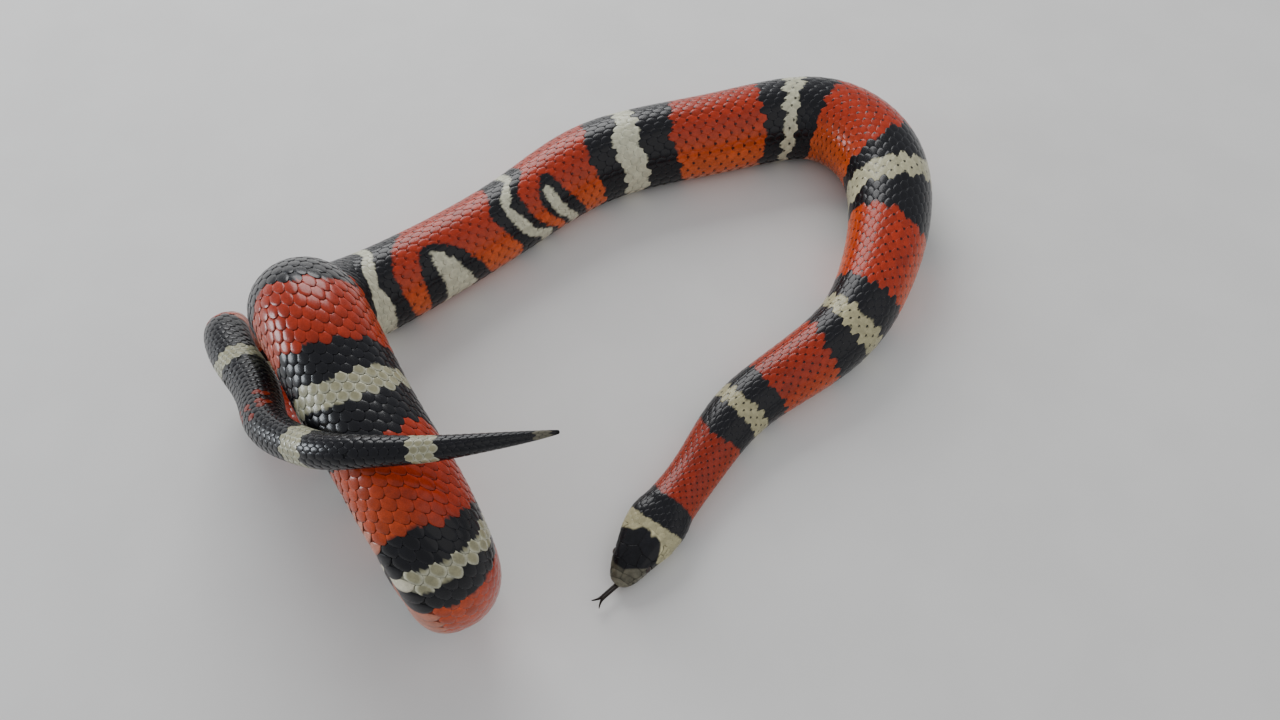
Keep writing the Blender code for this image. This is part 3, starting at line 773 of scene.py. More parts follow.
def surface_material(name, roughness, wave, height, brightness, coat=0.0, pits=False):
    """A material for skin, scales and shields.

    The colour is the point colour times a slow cloud of lighter and darker, with a dark spot at a scale's
    rear tip where asked.  Roughness follows finer noise between its two values, and the bump is that noise
    at a height in millimetres.
    """
    sockets = {"Specular IOR Level": 0.2, "Coat Weight": coat, "Coat Roughness": 0.12}
    material, tree, shader, place, colour = new_material(name, sockets)
    amount = ranged(tree, noise(tree, place, wave * SLOW_CLOUD), *brightness)
    quick = ranged(tree, noise(tree, place, wave * QUICK_CLOUD, 5.0), *QUICK_SPREAD)
    amount = multiplied(tree, amount, quick)
    if pits:
        spot = add_node(tree, "ShaderNodeVectorMath", operation="DISTANCE")
        link(tree, add_node(tree, "ShaderNodeUVMap", uv_map="on_scale").outputs["UV"], spot.inputs[0])
        spot.inputs[1].default_value = SPOT_PLACE
        dark = ranged(tree, spot.outputs["Value"], 1.0, 0.0, *SPOT_EDGE)
        strength = add_node(tree, "ShaderNodeAttribute", attribute_name="pit").outputs["Fac"]
        pit = multiplied(tree, dark, strength)
        amount = multiplied(tree, amount, ranged(tree, pit, 1.0, SPOT_SHADE, 0.0, 1.0))
    link(tree, shaded(tree, colour, amount), shader.inputs["Base Color"])
    fine = noise(tree, place, wave, 4.0)
    link(tree, ranged(tree, fine, *roughness), shader.inputs["Roughness"])
    bump = add_node(tree, "ShaderNodeBump", Strength=0.5, Distance=height * MM)
    link(tree, fine, bump.inputs["Height"])
    link(tree, bump.outputs["Normal"], shader.inputs["Normal"])
    return material


def number_setting(name, description, value, low, high, **kind):
    """A number property between two limits, with its unit or subtype."""
    return bpy.props.FloatProperty(
        name=name, description=description, default=value, min=low, max=high, **kind)


def colour_setting(name, description, value):
    """A colour property in linear red, green and blue."""
    return bpy.props.FloatVectorProperty(
        name=name, description=description, default=value, min=0.0, max=1.0, size=3, subtype="COLOR")


FINE = {"precision": 5, "unit": "LENGTH"}


class MilkSnakeSizes(bpy.types.PropertyGroup):
    skin_depth: number_setting(
        "Skin depth", "How far the skin lies inside the outside of the scales", 0.0003, 0.0001, 0.001, **FINE)
    scale_rise: number_setting(
        "Scale rise", "How far a scale climbs from its root to its free edge", 0.00015, 0.0, 0.0004, **FINE)
    scale_dome: number_setting(
        "Scale dome", "How far the middle of a scale stands over its edge", 0.00009, 0.0, 0.0003, **FINE)
    scale_edge: number_setting(
        "Scale edge", "Thickness of a scale at its edge", 0.00005, 0.00001, 0.0002, **FINE)
    overlap_along: number_setting(
        "Overlap along", "Half a scale's length as a share of its row's length", 0.64, 0.5, 0.9,
        subtype="FACTOR")
    overlap_across: number_setting(
        "Overlap across", "Half a scale's width as a share of the width of its row", 0.74, 0.5, 1.0,
        subtype="FACTOR")
    shield_gap: number_setting(
        "Shield gap", "Half the width of the seam between two head shields", 0.00003, 0.00001, 0.0003, **FINE)
    pupil: number_setting("Pupil", "Radius of the round pupil", 0.00052, 0.0002, 0.001, **FINE)
    floor_radius: number_setting("Floor radius", "Radius of the studio floor", 3.0, 1.0, 10.0, unit="LENGTH")
    lens: number_setting(
        "Lens", "Focal length of the camera in millimetres", 28.27, 10.0, 200.0, subtype="DISTANCE_CAMERA")


class MilkSnakeColours(bpy.types.PropertyGroup):
    red: colour_setting("Red", "Red rings on the back", (0.39, 0.028, 0.006))
    # Partly the flanks' own orange red and partly painted light of lit flanks.
    red_flank_and_painted_light: colour_setting("Red side", "Red rings on the flanks", (0.62, 0.100, 0.017))
    black: colour_setting("Black", "Black rings and cap", (0.006, 0.006, 0.008))
    cream: colour_setting("Cream", "Cream rings of the hind body", (0.68, 0.67, 0.50))
    cream_front: colour_setting("Cream front", "Yellower cream towards the head", (0.45, 0.41, 0.24))
    cream_middle: colour_setting(
        "Cream middle", "Olive tint in the middle of cream scales", (0.25, 0.23, 0.13))
    snout: colour_setting("Snout", "Pale snout and lips", (0.13, 0.12, 0.085))
    belly: colour_setting("Belly", "Paler tint of the belly plates", (0.62, 0.50, 0.38))
    iris: colour_setting("Iris", "Ring round the pupil", (0.035, 0.012, 0.006))
    tongue: colour_setting("Tongue", "Forked tongue", (0.012, 0.006, 0.004))
    floor: colour_setting("Floor", "Studio floor", (0.78, 0.77, 0.75))


class MILKSNAKE_OT_skin(bpy.types.Operator):
    """Make one seamless skin from the snout to the tip of the tail"""
    bl_idname = "milk_snake.skin"
    bl_label = "Skin"

    CROWN_FACES = 30
    LIP_FACES = 10
    JAW_FACES = 12
    LIP_REACH = 0.5         # mm above and below the mouth line with the finest faces
    CLOSE_END = 14.8        # station from which the faces spread evenly again
    POLE_OUT = -0.02        # how far the two end points lie under the outside
    SHADE = 0.4             # the skin between the scales is this share of their colour, and a little more: painted shade in the gaps
    LIFT = 0.003

    def rings(self):
        """Stations of the rings: close on the head, further apart on the body, closing at both ends."""
        front = -SNOUT_CAP * (1 - np.linspace(0.12, 1, 6))
        head = np.concatenate([np.linspace(0.08, 1.2, 9), np.arange(1.45, 16, 0.25), np.arange(16, 24, 0.5)])
        body = np.arange(24.5, COURSE_LINE.length - 8, 1.1)
        tip = np.linspace(body[-1] + 0.7, COURSE_LINE.length, 14)
        end = COURSE_LINE.length + TIP_CAP * np.array([0.3, 0.6, 0.85, 0.97])
        return np.concatenate([front, head, body, tip, end])

    def angles(self, stations):
        """Angles of the points of each ring: drawn together at the mouth on the head, even on the body."""
        fine = np.linspace(0, math.pi, HALF_TURN_POINTS)
        half = self.CROWN_FACES + self.LIP_FACES + self.JAW_FACES
        left = np.tile(np.linspace(0, math.pi, half + 1), (len(stations), 1))
        for i in np.flatnonzero(stations < HEAD_JOIN[0]):
            station = max(stations[i], 0)
            mouth = mouth_height(station)
            heights = surface(np.full(HALF_TURN_POINTS, station), fine, plain=True)[:, 2]
            upper, lower = np.interp((-mouth - self.LIP_REACH, self.LIP_REACH - mouth), -heights, fine)
            close = np.concatenate([
                np.linspace(0, upper, self.CROWN_FACES, endpoint=False),
                np.linspace(upper, lower, self.LIP_FACES, endpoint=False),
                np.linspace(lower, math.pi, self.JAW_FACES + 1)])
            left[i] = close + (left[i] - close) * ease(station, self.CLOSE_END, HEAD_JOIN[0])
        return np.concatenate([left, 2 * math.pi - left[:, -2:0:-1]], axis=1)

    def execute(self, context):
        full = context.scene.milk_snake_sizes.skin_depth / MM
        stations = self.rings()
        angles = self.angles(stations)
        rows, columns = angles.shape
        along = np.repeat(stations[:, None], columns, axis=1)
        depth = skin_depth(np.clip(along, 0, COURSE_LINE.length), full)
        points = surface(along, angles, -depth, pits=True).reshape(-1, 3)
        ends = surface(np.array([-SNOUT_CAP, COURSE_LINE.length + TIP_CAP]), np.zeros(2), self.POLE_OUT)
        quads, nose, tip = closed_faces(rows, columns, rows * columns, rows * columns + 1)

        # The flat layout has one more column than the skin, because it opens along the middle of the back.
        full_turn = np.concatenate([angles, np.full((rows, 1), 2 * math.pi)], axis=1)
        on_body = np.clip(np.repeat(stations[:, None], columns + 1, axis=1), 0, COURSE_LINE.length - 0.01)
        flat = unwrap(on_body, full_turn)
        corners = flat.reshape(-1, 2)[grid_faces(rows, columns + 1)]
        nose_corners = np.stack([flat[0, 1:], flat[0, :-1], flat[0, :-1] * (0, 1)], axis=1)
        tip_corners = np.stack([flat[-1, :-1], flat[-1, 1:], flat[-1, :-1] + (ALONG_MARGIN, 0)], axis=1)
        layout = np.concatenate([part.reshape(-1, 2) for part in (corners, nose_corners, tip_corners)])

        kinds = marking(along.ravel(), angles.ravel())
        colours = colour_of(kinds, along.ravel(), angles.ravel(), context.scene.milk_snake_colours)
        # The skin is darkened to a share of the scales' colour: painted shade in the gaps between them.
        colours = colours * self.SHADE + self.LIFT
        colours = np.concatenate([colours, colours[:1], colours[-1:]])
        nodes = [part["node"] for part in frame["record"]["subparts"] if part["material_slot"] == "scales"]
        material = surface_material("skin", (0.5, 0.7), 5000, 0.05, (0.85, 1.1))
        add_piece("skin", np.concatenate([points, ends]), [quads, nose, tip], material, "scales", colours,
                  nodes, layout)
        return {"FINISHED"}


# Directions and sizes of a scale's rings of points, closer together round its free rear edge.
SCALE_TURNS = (0, 22, 45, 68, 95, 130, 180, 230, 265, 292, 315, 338)
SCALE_RINGS = (0.55, 0.88, 1.0)
SCALE_POWER = 1.6


def scale_template():
    """The points of one scale, along and across from -1 to 1, the nearness of each to the rim, and its faces.

    Its rings are superellipses, between a middle point above and one below.
    """
    turn = np.radians(SCALE_TURNS)
    side, up = np.sin(turn), np.cos(turn)
    reach = (np.abs(up) ** SCALE_POWER + np.abs(side) ** SCALE_POWER) ** (-1 / SCALE_POWER)
    rim = np.stack([reach * up, reach * side], axis=1)
    count, last = len(turn), len(SCALE_RINGS) * len(turn)
    points = np.concatenate([[[0, 0]], *[rim * size for size in SCALE_RINGS], [[0, 0]]])
    nearness = np.concatenate([[0], np.repeat(SCALE_RINGS, count), [0]])
    quads, top, under = closed_faces(len(SCALE_RINGS), count, -1, last)
    return points, nearness, np.concatenate([top, under]) + 1, np.roll(quads, -1, axis=1) + 1


ROW_STEP = 0.25         # mm between the stations at which rows of scales are counted


def row_count(stations):
    """How many rows of scales lie between the first station and each of the others, ROW_STEP apart."""
    rows = ROW_STEP / np.interp(stations[:-1], ROW_STATIONS, ROW_LENGTHS)
    return np.concatenate([[0], np.cumsum(rows)])


class MILKSNAKE_OT_scales(bpy.types.Operator):
    """Lay the rows of overlapping scales over the back and flanks, from the nape to the tail tip"""
    bl_idname = "milk_snake.scales"
    bl_label = "Scales"

    PIECES = (("scales_front", 0, 205), ("scales_middle", 205, 400), ("scales_rear", 400, 710))
    NAPE = 20               # rows that start before this station follow the rear edge of the head shields
    THROAT = (1.26, 1.98)   # girth shares of the first and last of the throat's rows
    THROAT_WIDTH = 0.11
    THROAT_LENGTH = 1.6
    THROAT_END = 14.4
    COILED = (330, 400)     # stations over which scales grow bolder in relief and painted shade, from the run into the high turn
    FULL_WIDTH = 2.3        # mm across a row from which its scales have their full thickness
    DEPTH = 0.13            # mm by which a scale's middle lies under the outside
    COILED_DEPTH = 0.03     # and what the bolder scales lie deeper
    SPOTS_END = (335, 375)  # stations over which the dark spots fade out
    TAIL_REDS = 600         # station from which red is darker

    def roots(self):
        """Station and angle of the middle of every scale and the width of its row in radians.

        Rows run along the body, wider on the flanks than on the back.  Along a row the scales follow each
        other at the row length, and every other row starts half a length later.  Small ones fill the throat.
        """
        fine = np.arange(10, COURSE_LINE.length, ROW_STEP)
        count = row_count(fine)
        count -= np.interp(ROW_ZONES[0][0], fine, count)
        made = []
        for start, end, rows, reach in ROW_ZONES:
            for row in range(rows):
                place = (2 * row + 1) / rows - 1
                angle = math.radians(reach) * place * (1 - ROW_SPREAD * (1 - place ** 2))
                step = math.radians(2 * reach / rows) * (1 - ROW_SPREAD * (1 - 3 * place ** 2))
                first, half = start, row % 2 / 2
                if start < self.NAPE:
                    first += 0.7 - 1.5 * ease(abs(angle), 0.2, 0.6) + 1.3 * ease(abs(angle), 1.7, 1.9)
                first = np.ceil(np.interp(first, fine, count) - half) + half
                station = np.interp(np.arange(first, np.interp(end, fine, count)), count, fine)
                angles, steps = np.full(len(station), angle), np.full(len(station), step)
                made.append(np.stack([station, angles, steps], axis=1))
        for row, share in enumerate(np.arange(*self.THROAT, self.THROAT_WIDTH)):
            start = 2.4 + 9.5 * (share - 1.2) + row % 2 * 0.8
            station = np.arange(start, self.THROAT_END, self.THROAT_LENGTH)
            angle = GIRTH.angle(station, np.full(len(station), share))
            step = angle - GIRTH.angle(station, np.full(len(station), share - self.THROAT_WIDTH))
            keep = (station < 12.2) | (angle < math.radians(BELLY_EDGE))
            for sign in (1, -1):
                made.append(np.stack([station, sign * angle, step], axis=1)[keep])
        return np.concatenate(made)

    def lay(self, roots, template, nearness, sizes, draw):
        """Station, angle and height of every point of every scale.

        A point lies at its scale's middle plus its place on the scale times the half length and half width,
        turned by a little chance.  The height climbs from the root to the free edge, is domed over the middle
        and drops at the rim, the underside lies lowest, and chance shifts each scale as a whole.
        """
        station, angle, step = roots.T
        count = len(roots)
        u, v = template.T
        coiled = ease(station, *self.COILED)[:, None]
        radius = COURSE_LINE.read("radius", station)
        size = np.clip(radius * step / self.FULL_WIDTH, 0.25, 1.0)[:, None]
        row_length = np.interp(station, ROW_STATIONS, ROW_LENGTHS)
        half_length = row_length * sizes.overlap_along * draw.normal(1, 0.015, count)
        half_width = step * sizes.overlap_across * draw.normal(1, 0.015, count)
        turn = draw.normal(0, 0.02, count)
        along = station[:, None] + half_length[:, None] * (u + turn[:, None] * v)
        around = angle[:, None] + half_width[:, None] * v - (turn * half_length / radius)[:, None] * u
        rise = sizes.scale_rise / MM / 2 * u * (0.7 + 0.6 * coiled)
        dome = sizes.scale_dome / MM * (1 - nearness ** 2) * (1 + 0.5 * coiled)
        edge = -sizes.scale_edge / MM * (nearness == 1)
        edge[-1] = -(sizes.scale_dome + 2 * sizes.scale_edge) / MM
        shift = draw.normal(0, 0.006, count)[:, None]
        lift = rise + dome + edge - self.DEPTH - self.COILED_DEPTH * coiled + shift
        return along, around, lift * size

    def paint(self, roots, along, around, u, nearness, colours, draw):
        """Colour of every point of every scale, and how strong its dark spot is.

        The marking's colour varies by scale.  Cream turns olive in the middle of a scale, the bolder red
        scales darken towards their middle and get painted shade, lighter at the front and darker to the rear,
        the scales that are not black get a painted shadow along their rear edge, strongest on the bolder
        ones, and red darkens on the tail.  Spots lie on red and cream.
        """
        station, angle = roots[:, :1], roots[:, 1:2]
        count = len(roots)
        coiled = ease(station, *self.COILED)

        # A scale takes the colour of its middle, but on the neck and along the run the edges of the marks cut
        # across scales.
        cut = ease(station, 250, 275) - ease(station, 345, 360) + 1 - ease(station, 18, 75)
        follow = (0.3 + 0.6 * cut) * (1 - 0.8 * ease(station, 603, 615))
        seen = station + 0.12 * np.interp(station, ROW_STATIONS, ROW_LENGTHS)
        kinds = marking(seen + follow * (along - seen), angle + follow * (around - angle))
        red, cream, black = (kinds == kind for kind in (RED, CREAM, BLACK))
        base = colour_of(kinds, along, around, colours) * draw.normal(1, 0.06, (count, 1, 1))
        middle = 1 - ease(nearness, 0.5, 0.9)
        base = blend(base, colours.cream_middle, middle * cream * (0.25 + 0.65 * coiled))
        # Bolder red scales darken towards their middle, and painted shade makes them lighter at the front and
        # darker to the rear.
        shade = 1 + red * coiled * (0.20 - 0.34 * middle - 0.14 * u) + 0.4 * black * (1 - middle)
        shade *= 1 - 0.45 * red * (station > self.TAIL_REDS)
        # A painted shadow along the rear edge of every scale that is not black, strongest on the bolder ones.
        rim = (nearness == SCALE_RINGS[2]) + 0.45 * (nearness == SCALE_RINGS[1])
        shade *= 1 - rim * np.clip(0.35 + u, 0, 1) * (0.25 + 0.6 * coiled) * ~black
        spot = (1 - 0.35 * ease(station, 180, 300)) * (1 - ease(station, *self.SPOTS_END))
        spot = spot * ease(station, 19, 24) * draw.uniform(0.75, 1.0, count)[:, None] * (red | cream)
        spot *= 1 - 0.75 * cream * ease(station, 225, 245)
        return np.clip(base * shade[..., None], 0, 1), spot

    def execute(self, context):
        draw = np.random.default_rng(11)
        template, nearness, tris, quads = scale_template()
        roots = self.roots()
        along, around, lift = self.lay(roots, template, nearness, context.scene.milk_snake_sizes, draw)
        points = surface(along, around, lift)
        colours, spot = self.paint(
            roots, along, around, template[:, 0], nearness, context.scene.milk_snake_colours, draw)
        on_scale = np.tile(template / 2 + 0.5, (len(roots), 1, 1))
        middle = unwrap(roots[:, 0], np.mod(roots[:, 1], 2 * math.pi))
        layout = middle[:, None, :] + (on_scale - 0.5) * PATCH
        material = surface_material("scale", (0.20, 0.32), 6500, 0.03, (0.88, 1.1), 0.2, pits=True)
        for name, start, end in self.PIECES:
            pick = (roots[:, 0] >= start) & (roots[:, 0] < end)
            faces = [repeat_faces(block, len(template), pick.sum()) for block in (tris, quads)]
            add_piece(name, points[pick].reshape(-1, 3), faces, material, "scales",
                      colours[pick].reshape(-1, 3), layout=layout[pick].reshape(-1, 2),
                      on_scale=on_scale[pick].reshape(-1, 2), pit=spot[pick].ravel())
        return {"FINISHED"}


class MILKSNAKE_OT_belly_plates(bpy.types.Operator):
    """Lay one wide plate after another across the belly, and pairs of smaller ones under the tail"""
    bl_idname = "milk_snake.belly_plates"
    bl_label = "Belly plates"

    ACROSS = 25
    # A plate's outline along the body: station from -1 to 1 and height over its middle, in mm.
    PROFILE = np.array((
        (-1.0, -0.25), (-0.95, -0.19), (-0.2, -0.13), (0.6, -0.08), (0.97, -0.09), (1.0, -0.14)))
    HALF_LENGTH = 0.66      # half a plate's length as a share of its row's length
    TAIL_REACH = 0.56       # half a tail plate's width as a share of half the belly
    FULL_RADIUS = 8         # mm of body radius from which plates have their full thickness
    END_SINK = 0.05         # mm by which a plate's two ends lie deeper
    PALE = 0.3              # share of the belly's own tint in red and cream
    REAR_SHADE = 0.35       # how much a plate's rear edge darkens

    def plates(self, station, half_length, middle, reach):
        """Points, stations and angles of plates: PROFILE carried round the belly from one end to the other,
        shortening to a rounded end at both.
        """
        across = np.linspace(-1, 1, self.ACROSS)[:, None]
        narrow = 1 - 0.999 * np.abs(across) ** 7
        u, height = self.PROFILE.T
        along = station[:, None, None] + half_length[:, None, None] * u * narrow
        around = np.broadcast_to(middle + reach * across, along.shape)
        size = np.clip(COURSE_LINE.read("radius", station) / self.FULL_RADIUS, 0.2, 1)[:, None, None]
        lift = height * size - self.END_SINK * size * (1 - narrow)
        return surface(along, around, lift), along, around

    def execute(self, context):
        colours = context.scene.milk_snake_colours
        draw = np.random.default_rng(5)
        fine = np.arange(BELLY_START, COURSE_LINE.length - 2, ROW_STEP)
        count = row_count(fine)
        station = np.interp(np.arange(0, count[-1]), count, fine)
        half_length = np.interp(station, ROW_STATIONS, ROW_LENGTHS) * self.HALF_LENGTH
        trunk = station < VENT
        edge = math.radians(BELLY_EDGE)
        half_belly = math.pi - edge
        groups = ((trunk, math.pi, half_belly),
                  (~trunk, (math.pi + edge) / 2, half_belly * self.TAIL_REACH),
                  (~trunk, math.pi + half_belly / 2, half_belly * self.TAIL_REACH))
        made = []
        for pick, middle, reach in groups:
            points, along, around = self.plates(station[pick], half_length[pick], middle, reach)
            number = len(points)
            tint = draw.normal(1, 0.05, (number, 1, 1, 1))
            kinds = marking(np.broadcast_to(station[pick][:, None, None], along.shape), around)
            pale = np.where(kinds == BLACK, 0.0, self.PALE)
            rear = 1 - self.REAR_SHADE * ease(self.PROFILE[:, 0], 0.6, 1.0) * (pale > 0)
            colour = blend(colour_of(kinds, along, around, colours), colours.belly, pale)
            colour = np.clip(colour * tint * rear[..., None], 0, 1)
            place = unwrap(station[pick], np.full(number, middle % (2 * math.pi)))
            lengthwise = np.broadcast_to(self.PROFILE[:, 0] / 2, around[0].shape)
            patch = np.stack([lengthwise, (around[0] - middle) / reach / 2], axis=-1) * PATCH
            layout = place[:, None, None, :] + patch
            made.append((points.reshape(-1, 3), colour.reshape(-1, 3), layout.reshape(-1, 2)))
        points, tints, layout = (np.concatenate(part) for part in zip(*made))
        columns = len(self.PROFILE)
        each = self.ACROSS * columns
        quads = grid_faces(self.ACROSS, columns, closed=True)[:, ::-1]
        ends = np.stack([np.arange(columns), each - 1 - np.arange(columns)])
        faces = [repeat_faces(block, each, len(points) // each) for block in (quads, ends)]
        material = surface_material("belly_plate", (0.30, 0.45), 4500, 0.03, (0.86, 1.1), 0.2)
        add_piece("belly_plates", points, faces, material, "scales", tints, layout=layout)
        return {"FINISHED"}


class MILKSNAKE_OT_head_shields(bpy.types.Operator):
    """Lay the large shields of the crown, cheeks, lips and chin over the skin of the head"""
    bl_idname = "milk_snake.head_shields"
    bl_label = "Head shields"

    AROUND = 48
    # Rings of a shield from its foot inwards: distance in from the outline and height, in mm.
    EDGE_RINGS = ((0.0, -0.10), (0.0, -0.03), (0.025, 0.0), (0.08, 0.012))
    INNER_RINGS = (0.93, 0.86, 0.78, 0.70, 0.62, 0.54, 0.46, 0.38, 0.28, 0.16)
    BLUR = ((0, 0), (0.15, 0), (-0.15, 0), (0, 0.04), (0, -0.04))       # mm and radians
    CROWN = 0.03            # height of a shield's middle over its shoulder
    FINE = 240              # points of an outline before its corners are rounded
    CORNER = 0.16           # mm over which they are rounded
    # Girth share and station within which the shields beside the mouth are pale where the cap would be black.
    PALE_LIPS = ((0.86, 9.5), (1.02, 13))
    PALE_LEFT_LIPS = (0.86, 11)
    PALE_SNOUT = 4.6        # shields with their middle before this station differ more from each other
    RING_SHADES = (0.5, 0.6, 0.8, 0.95)
    UNDER_SHADE = 0.35
    LAYOUT_REACH = 3        # mm
    LAYOUT_SCALE = 0.0005

    def outlines(self):
        """Every shield's corners as station and girth share, the left of a pair and then the right."""
        shields = []
        for middle, half in MIDDLE_SHIELDS:
            half = np.array(half)
            mirrored = half[::-1] * (1, -1) + (0, 2 * middle)
            keep = np.abs(mirrored[:, 1] - middle) > 1e-6
            shields.append(np.concatenate([half, mirrored[keep]]))
        pairs = [np.array(corners) for corners in PAIRED_SHIELDS]
        tops = UPPER_LIP_TOPS
        for i, (start, end) in enumerate(zip(UPPER_LIP_SEAMS[:-1], UPPER_LIP_SEAMS[1:])):
            top = (start, tops[i]), (end, tops[i + 1])
            pairs.append(np.array(((start, 1 - LIP_EDGE), *top, (end, 1 - LIP_EDGE))))
        for start, end in zip(LOWER_LIP_SEAMS[:-1], LOWER_LIP_SEAMS[1:]):
            bottom = (start, LOWER_LIP_BOTTOM), (end, LOWER_LIP_BOTTOM)
            pairs.append(np.array(((start, 1 + LIP_EDGE), *bottom, (end, 1 + LIP_EDGE))))
        for pair in pairs:
            shields += [pair, pair * (1, -1) if pair[:, 1].max() <= 1 else pair * (1, -1) + (0, 4)]
        return shields

    def even(self, line, number):
        """A closed line at evenly spaced points."""
        loop = np.concatenate([line, line[:1]])
        run = np.concatenate([[0], np.cumsum(np.linalg.norm(np.diff(loop, axis=0), axis=1))])
        at = np.linspace(0, run[-1], number, endpoint=False)
        return np.stack([np.interp(at, run, loop[:, i]) for i in range(2)], axis=1)

    def rounded(self, line, window):
        """A closed line with its corners rounded, by averaging each point with its neighbours."""
        reach = np.arange(-window, window + 1)
        return np.mean([np.roll(line, k, axis=0) for k in reach], axis=0)

    def shield(self, corners, gap):
        """Stations, girth shares and heights of one shield: rings from its foot in to its middle.

        The rings are its rounded outline moved in, kept out of the openings of eyes and nostrils, and then
        shrunk towards the middle while the height climbs to the crown.
        """
        lower = abs(corners[:, 1].mean()) > 1
        girth = np.interp(corners[:, 0].mean(), GIRTH.stations, GIRTH.lower if lower else GIRTH.upper)
        metric = (1, girth)
        fine = self.even(corners * metric, self.FINE)
        length = np.linalg.norm(np.diff(np.concatenate([fine, fine[:1]]), axis=0), axis=1).sum()
        line = self.even(self.rounded(fine, max(2, int(self.CORNER / length * self.FINE))), self.AROUND)
        middle = line.mean(axis=0)
        way = np.roll(line, -1, axis=0) - np.roll(line, 1, axis=0)
        inward = unit(np.stack([-way[:, 1], way[:, 0]], axis=1))
        if ((middle - line) * inward).sum() < 0:
            inward = -inward
        holes = []
        openings = ((EYE_STATION, EYE_HEIGHT, EYE_OPENING), (*NOSTRIL, NOSTRIL_RADIUS))
        for sign in (1, -1):
            for station, height, radius in openings:
                share = GIRTH.share_at_height(station, height)
                holes.append((np.array((station, sign * share * girth)), radius))
        rings, heights = [], []
        for inset, height in self.EDGE_RINGS:
            ring = line + inward * (gap + inset)
            for centre, radius in holes:
                away = ring - centre
                distance = np.linalg.norm(away, axis=1, keepdims=True)
                ring = np.where(distance < radius + inset, centre + away / distance * (radius + inset), ring)
            rings.append(ring)
            heights.append(np.full(self.AROUND, height))
        shoulder, last = self.EDGE_RINGS[-1][1], rings[-1]
        middle = last.mean(axis=0)
        for share in self.INNER_RINGS:
            rings.append(middle + (last - middle) * share)
            heights.append(np.full(self.AROUND, shoulder + self.CROWN * (1 - share ** 2)))
        flat = np.concatenate(rings + [middle[None], middle[None]]) / metric
        top = shoulder + self.CROWN
        return flat[:, 0], flat[:, 1], np.concatenate(heights + [[top], [self.EDGE_RINGS[0][1]]])

    def execute(self, context):
        gap = context.scene.milk_snake_sizes.shield_gap / MM
        draw = np.random.default_rng(3)
        outlines = self.outlines()
        made = [self.shield(corners, gap) for corners in outlines]
        stations, shares, heights = (np.stack(part) for part in zip(*made))
        angles = GIRTH.angle(stations, shares)
        points = surface(stations, angles, heights)
        rings = len(self.EDGE_RINGS) + len(self.INNER_RINGS)
        each = rings * self.AROUND + 2
        quads, under, top = closed_faces(rings, self.AROUND, each - 1, each - 2)
        tris = np.concatenate([top, under])
        quad_list, tri_list = [], []
        for i, shield in enumerate(points):
            edge_out = shield[0] - shield[each - 1]
            normal = np.cross(shield[1] - shield[0], shield[self.AROUND] - shield[0])
            turned = np.dot(normal, edge_out) < 0
            quad_list.append((quads[:, ::-1] if turned else quads) + i * each)
            tri_list.append((tris[:, ::-1] if turned else tris) + i * each)
        # Colours are the marking's, blurred a little, varied by shield and darkened towards its foot.
        side = np.abs(shares)
        share, end = self.PALE_LEFT_LIPS
        lips = (side > share) & (stations < end) & (np.sin(angles) > 0)
        for share, end in self.PALE_LIPS:
            lips |= (side > share) & (stations < end)
        colours = 0
        for forward, turn in self.BLUR:
            kinds = marking(stations + forward, angles + turn)
            kinds = np.where(lips & (kinds == BLACK), SNOUT, kinds)
            made = colour_of(kinds, stations, angles, context.scene.milk_snake_colours)
            colours = colours + made / len(self.BLUR)
        snout = stations.mean(axis=1) < self.PALE_SNOUT
        colours = colours * draw.normal(1, np.where(snout, 0.22, 0.06))[:, None, None]
        inner = np.ones(len(self.INNER_RINGS) * self.AROUND + 1)
        rim = np.concatenate([np.repeat(self.RING_SHADES, self.AROUND), inner, [self.UNDER_SHADE]])
        colours = np.clip(colours * rim[None, :, None], 0, 1)
        place = unwrap(np.clip(stations.mean(axis=1), 0, None), np.mod(angles.mean(axis=1), 2 * math.pi))
        spread = np.stack([stations - stations.mean(axis=1, keepdims=True),
                           shares - shares.mean(axis=1, keepdims=True)], axis=-1)
        spread = np.clip(spread, -self.LAYOUT_REACH, self.LAYOUT_REACH)
        layout = place[:, None, :] + spread * self.LAYOUT_SCALE
        material = surface_material("head_shield", (0.26, 0.38), 5200, 0.03, (0.75, 1.2), 0.15)
        faces = [np.concatenate(quad_list), np.concatenate(tri_list)]
        add_piece("head_shields", points.reshape(-1, 3), faces, material, "scales", colours.reshape(-1, 3),
                  layout=layout.reshape(-1, 2))
        return {"FINISHED"}


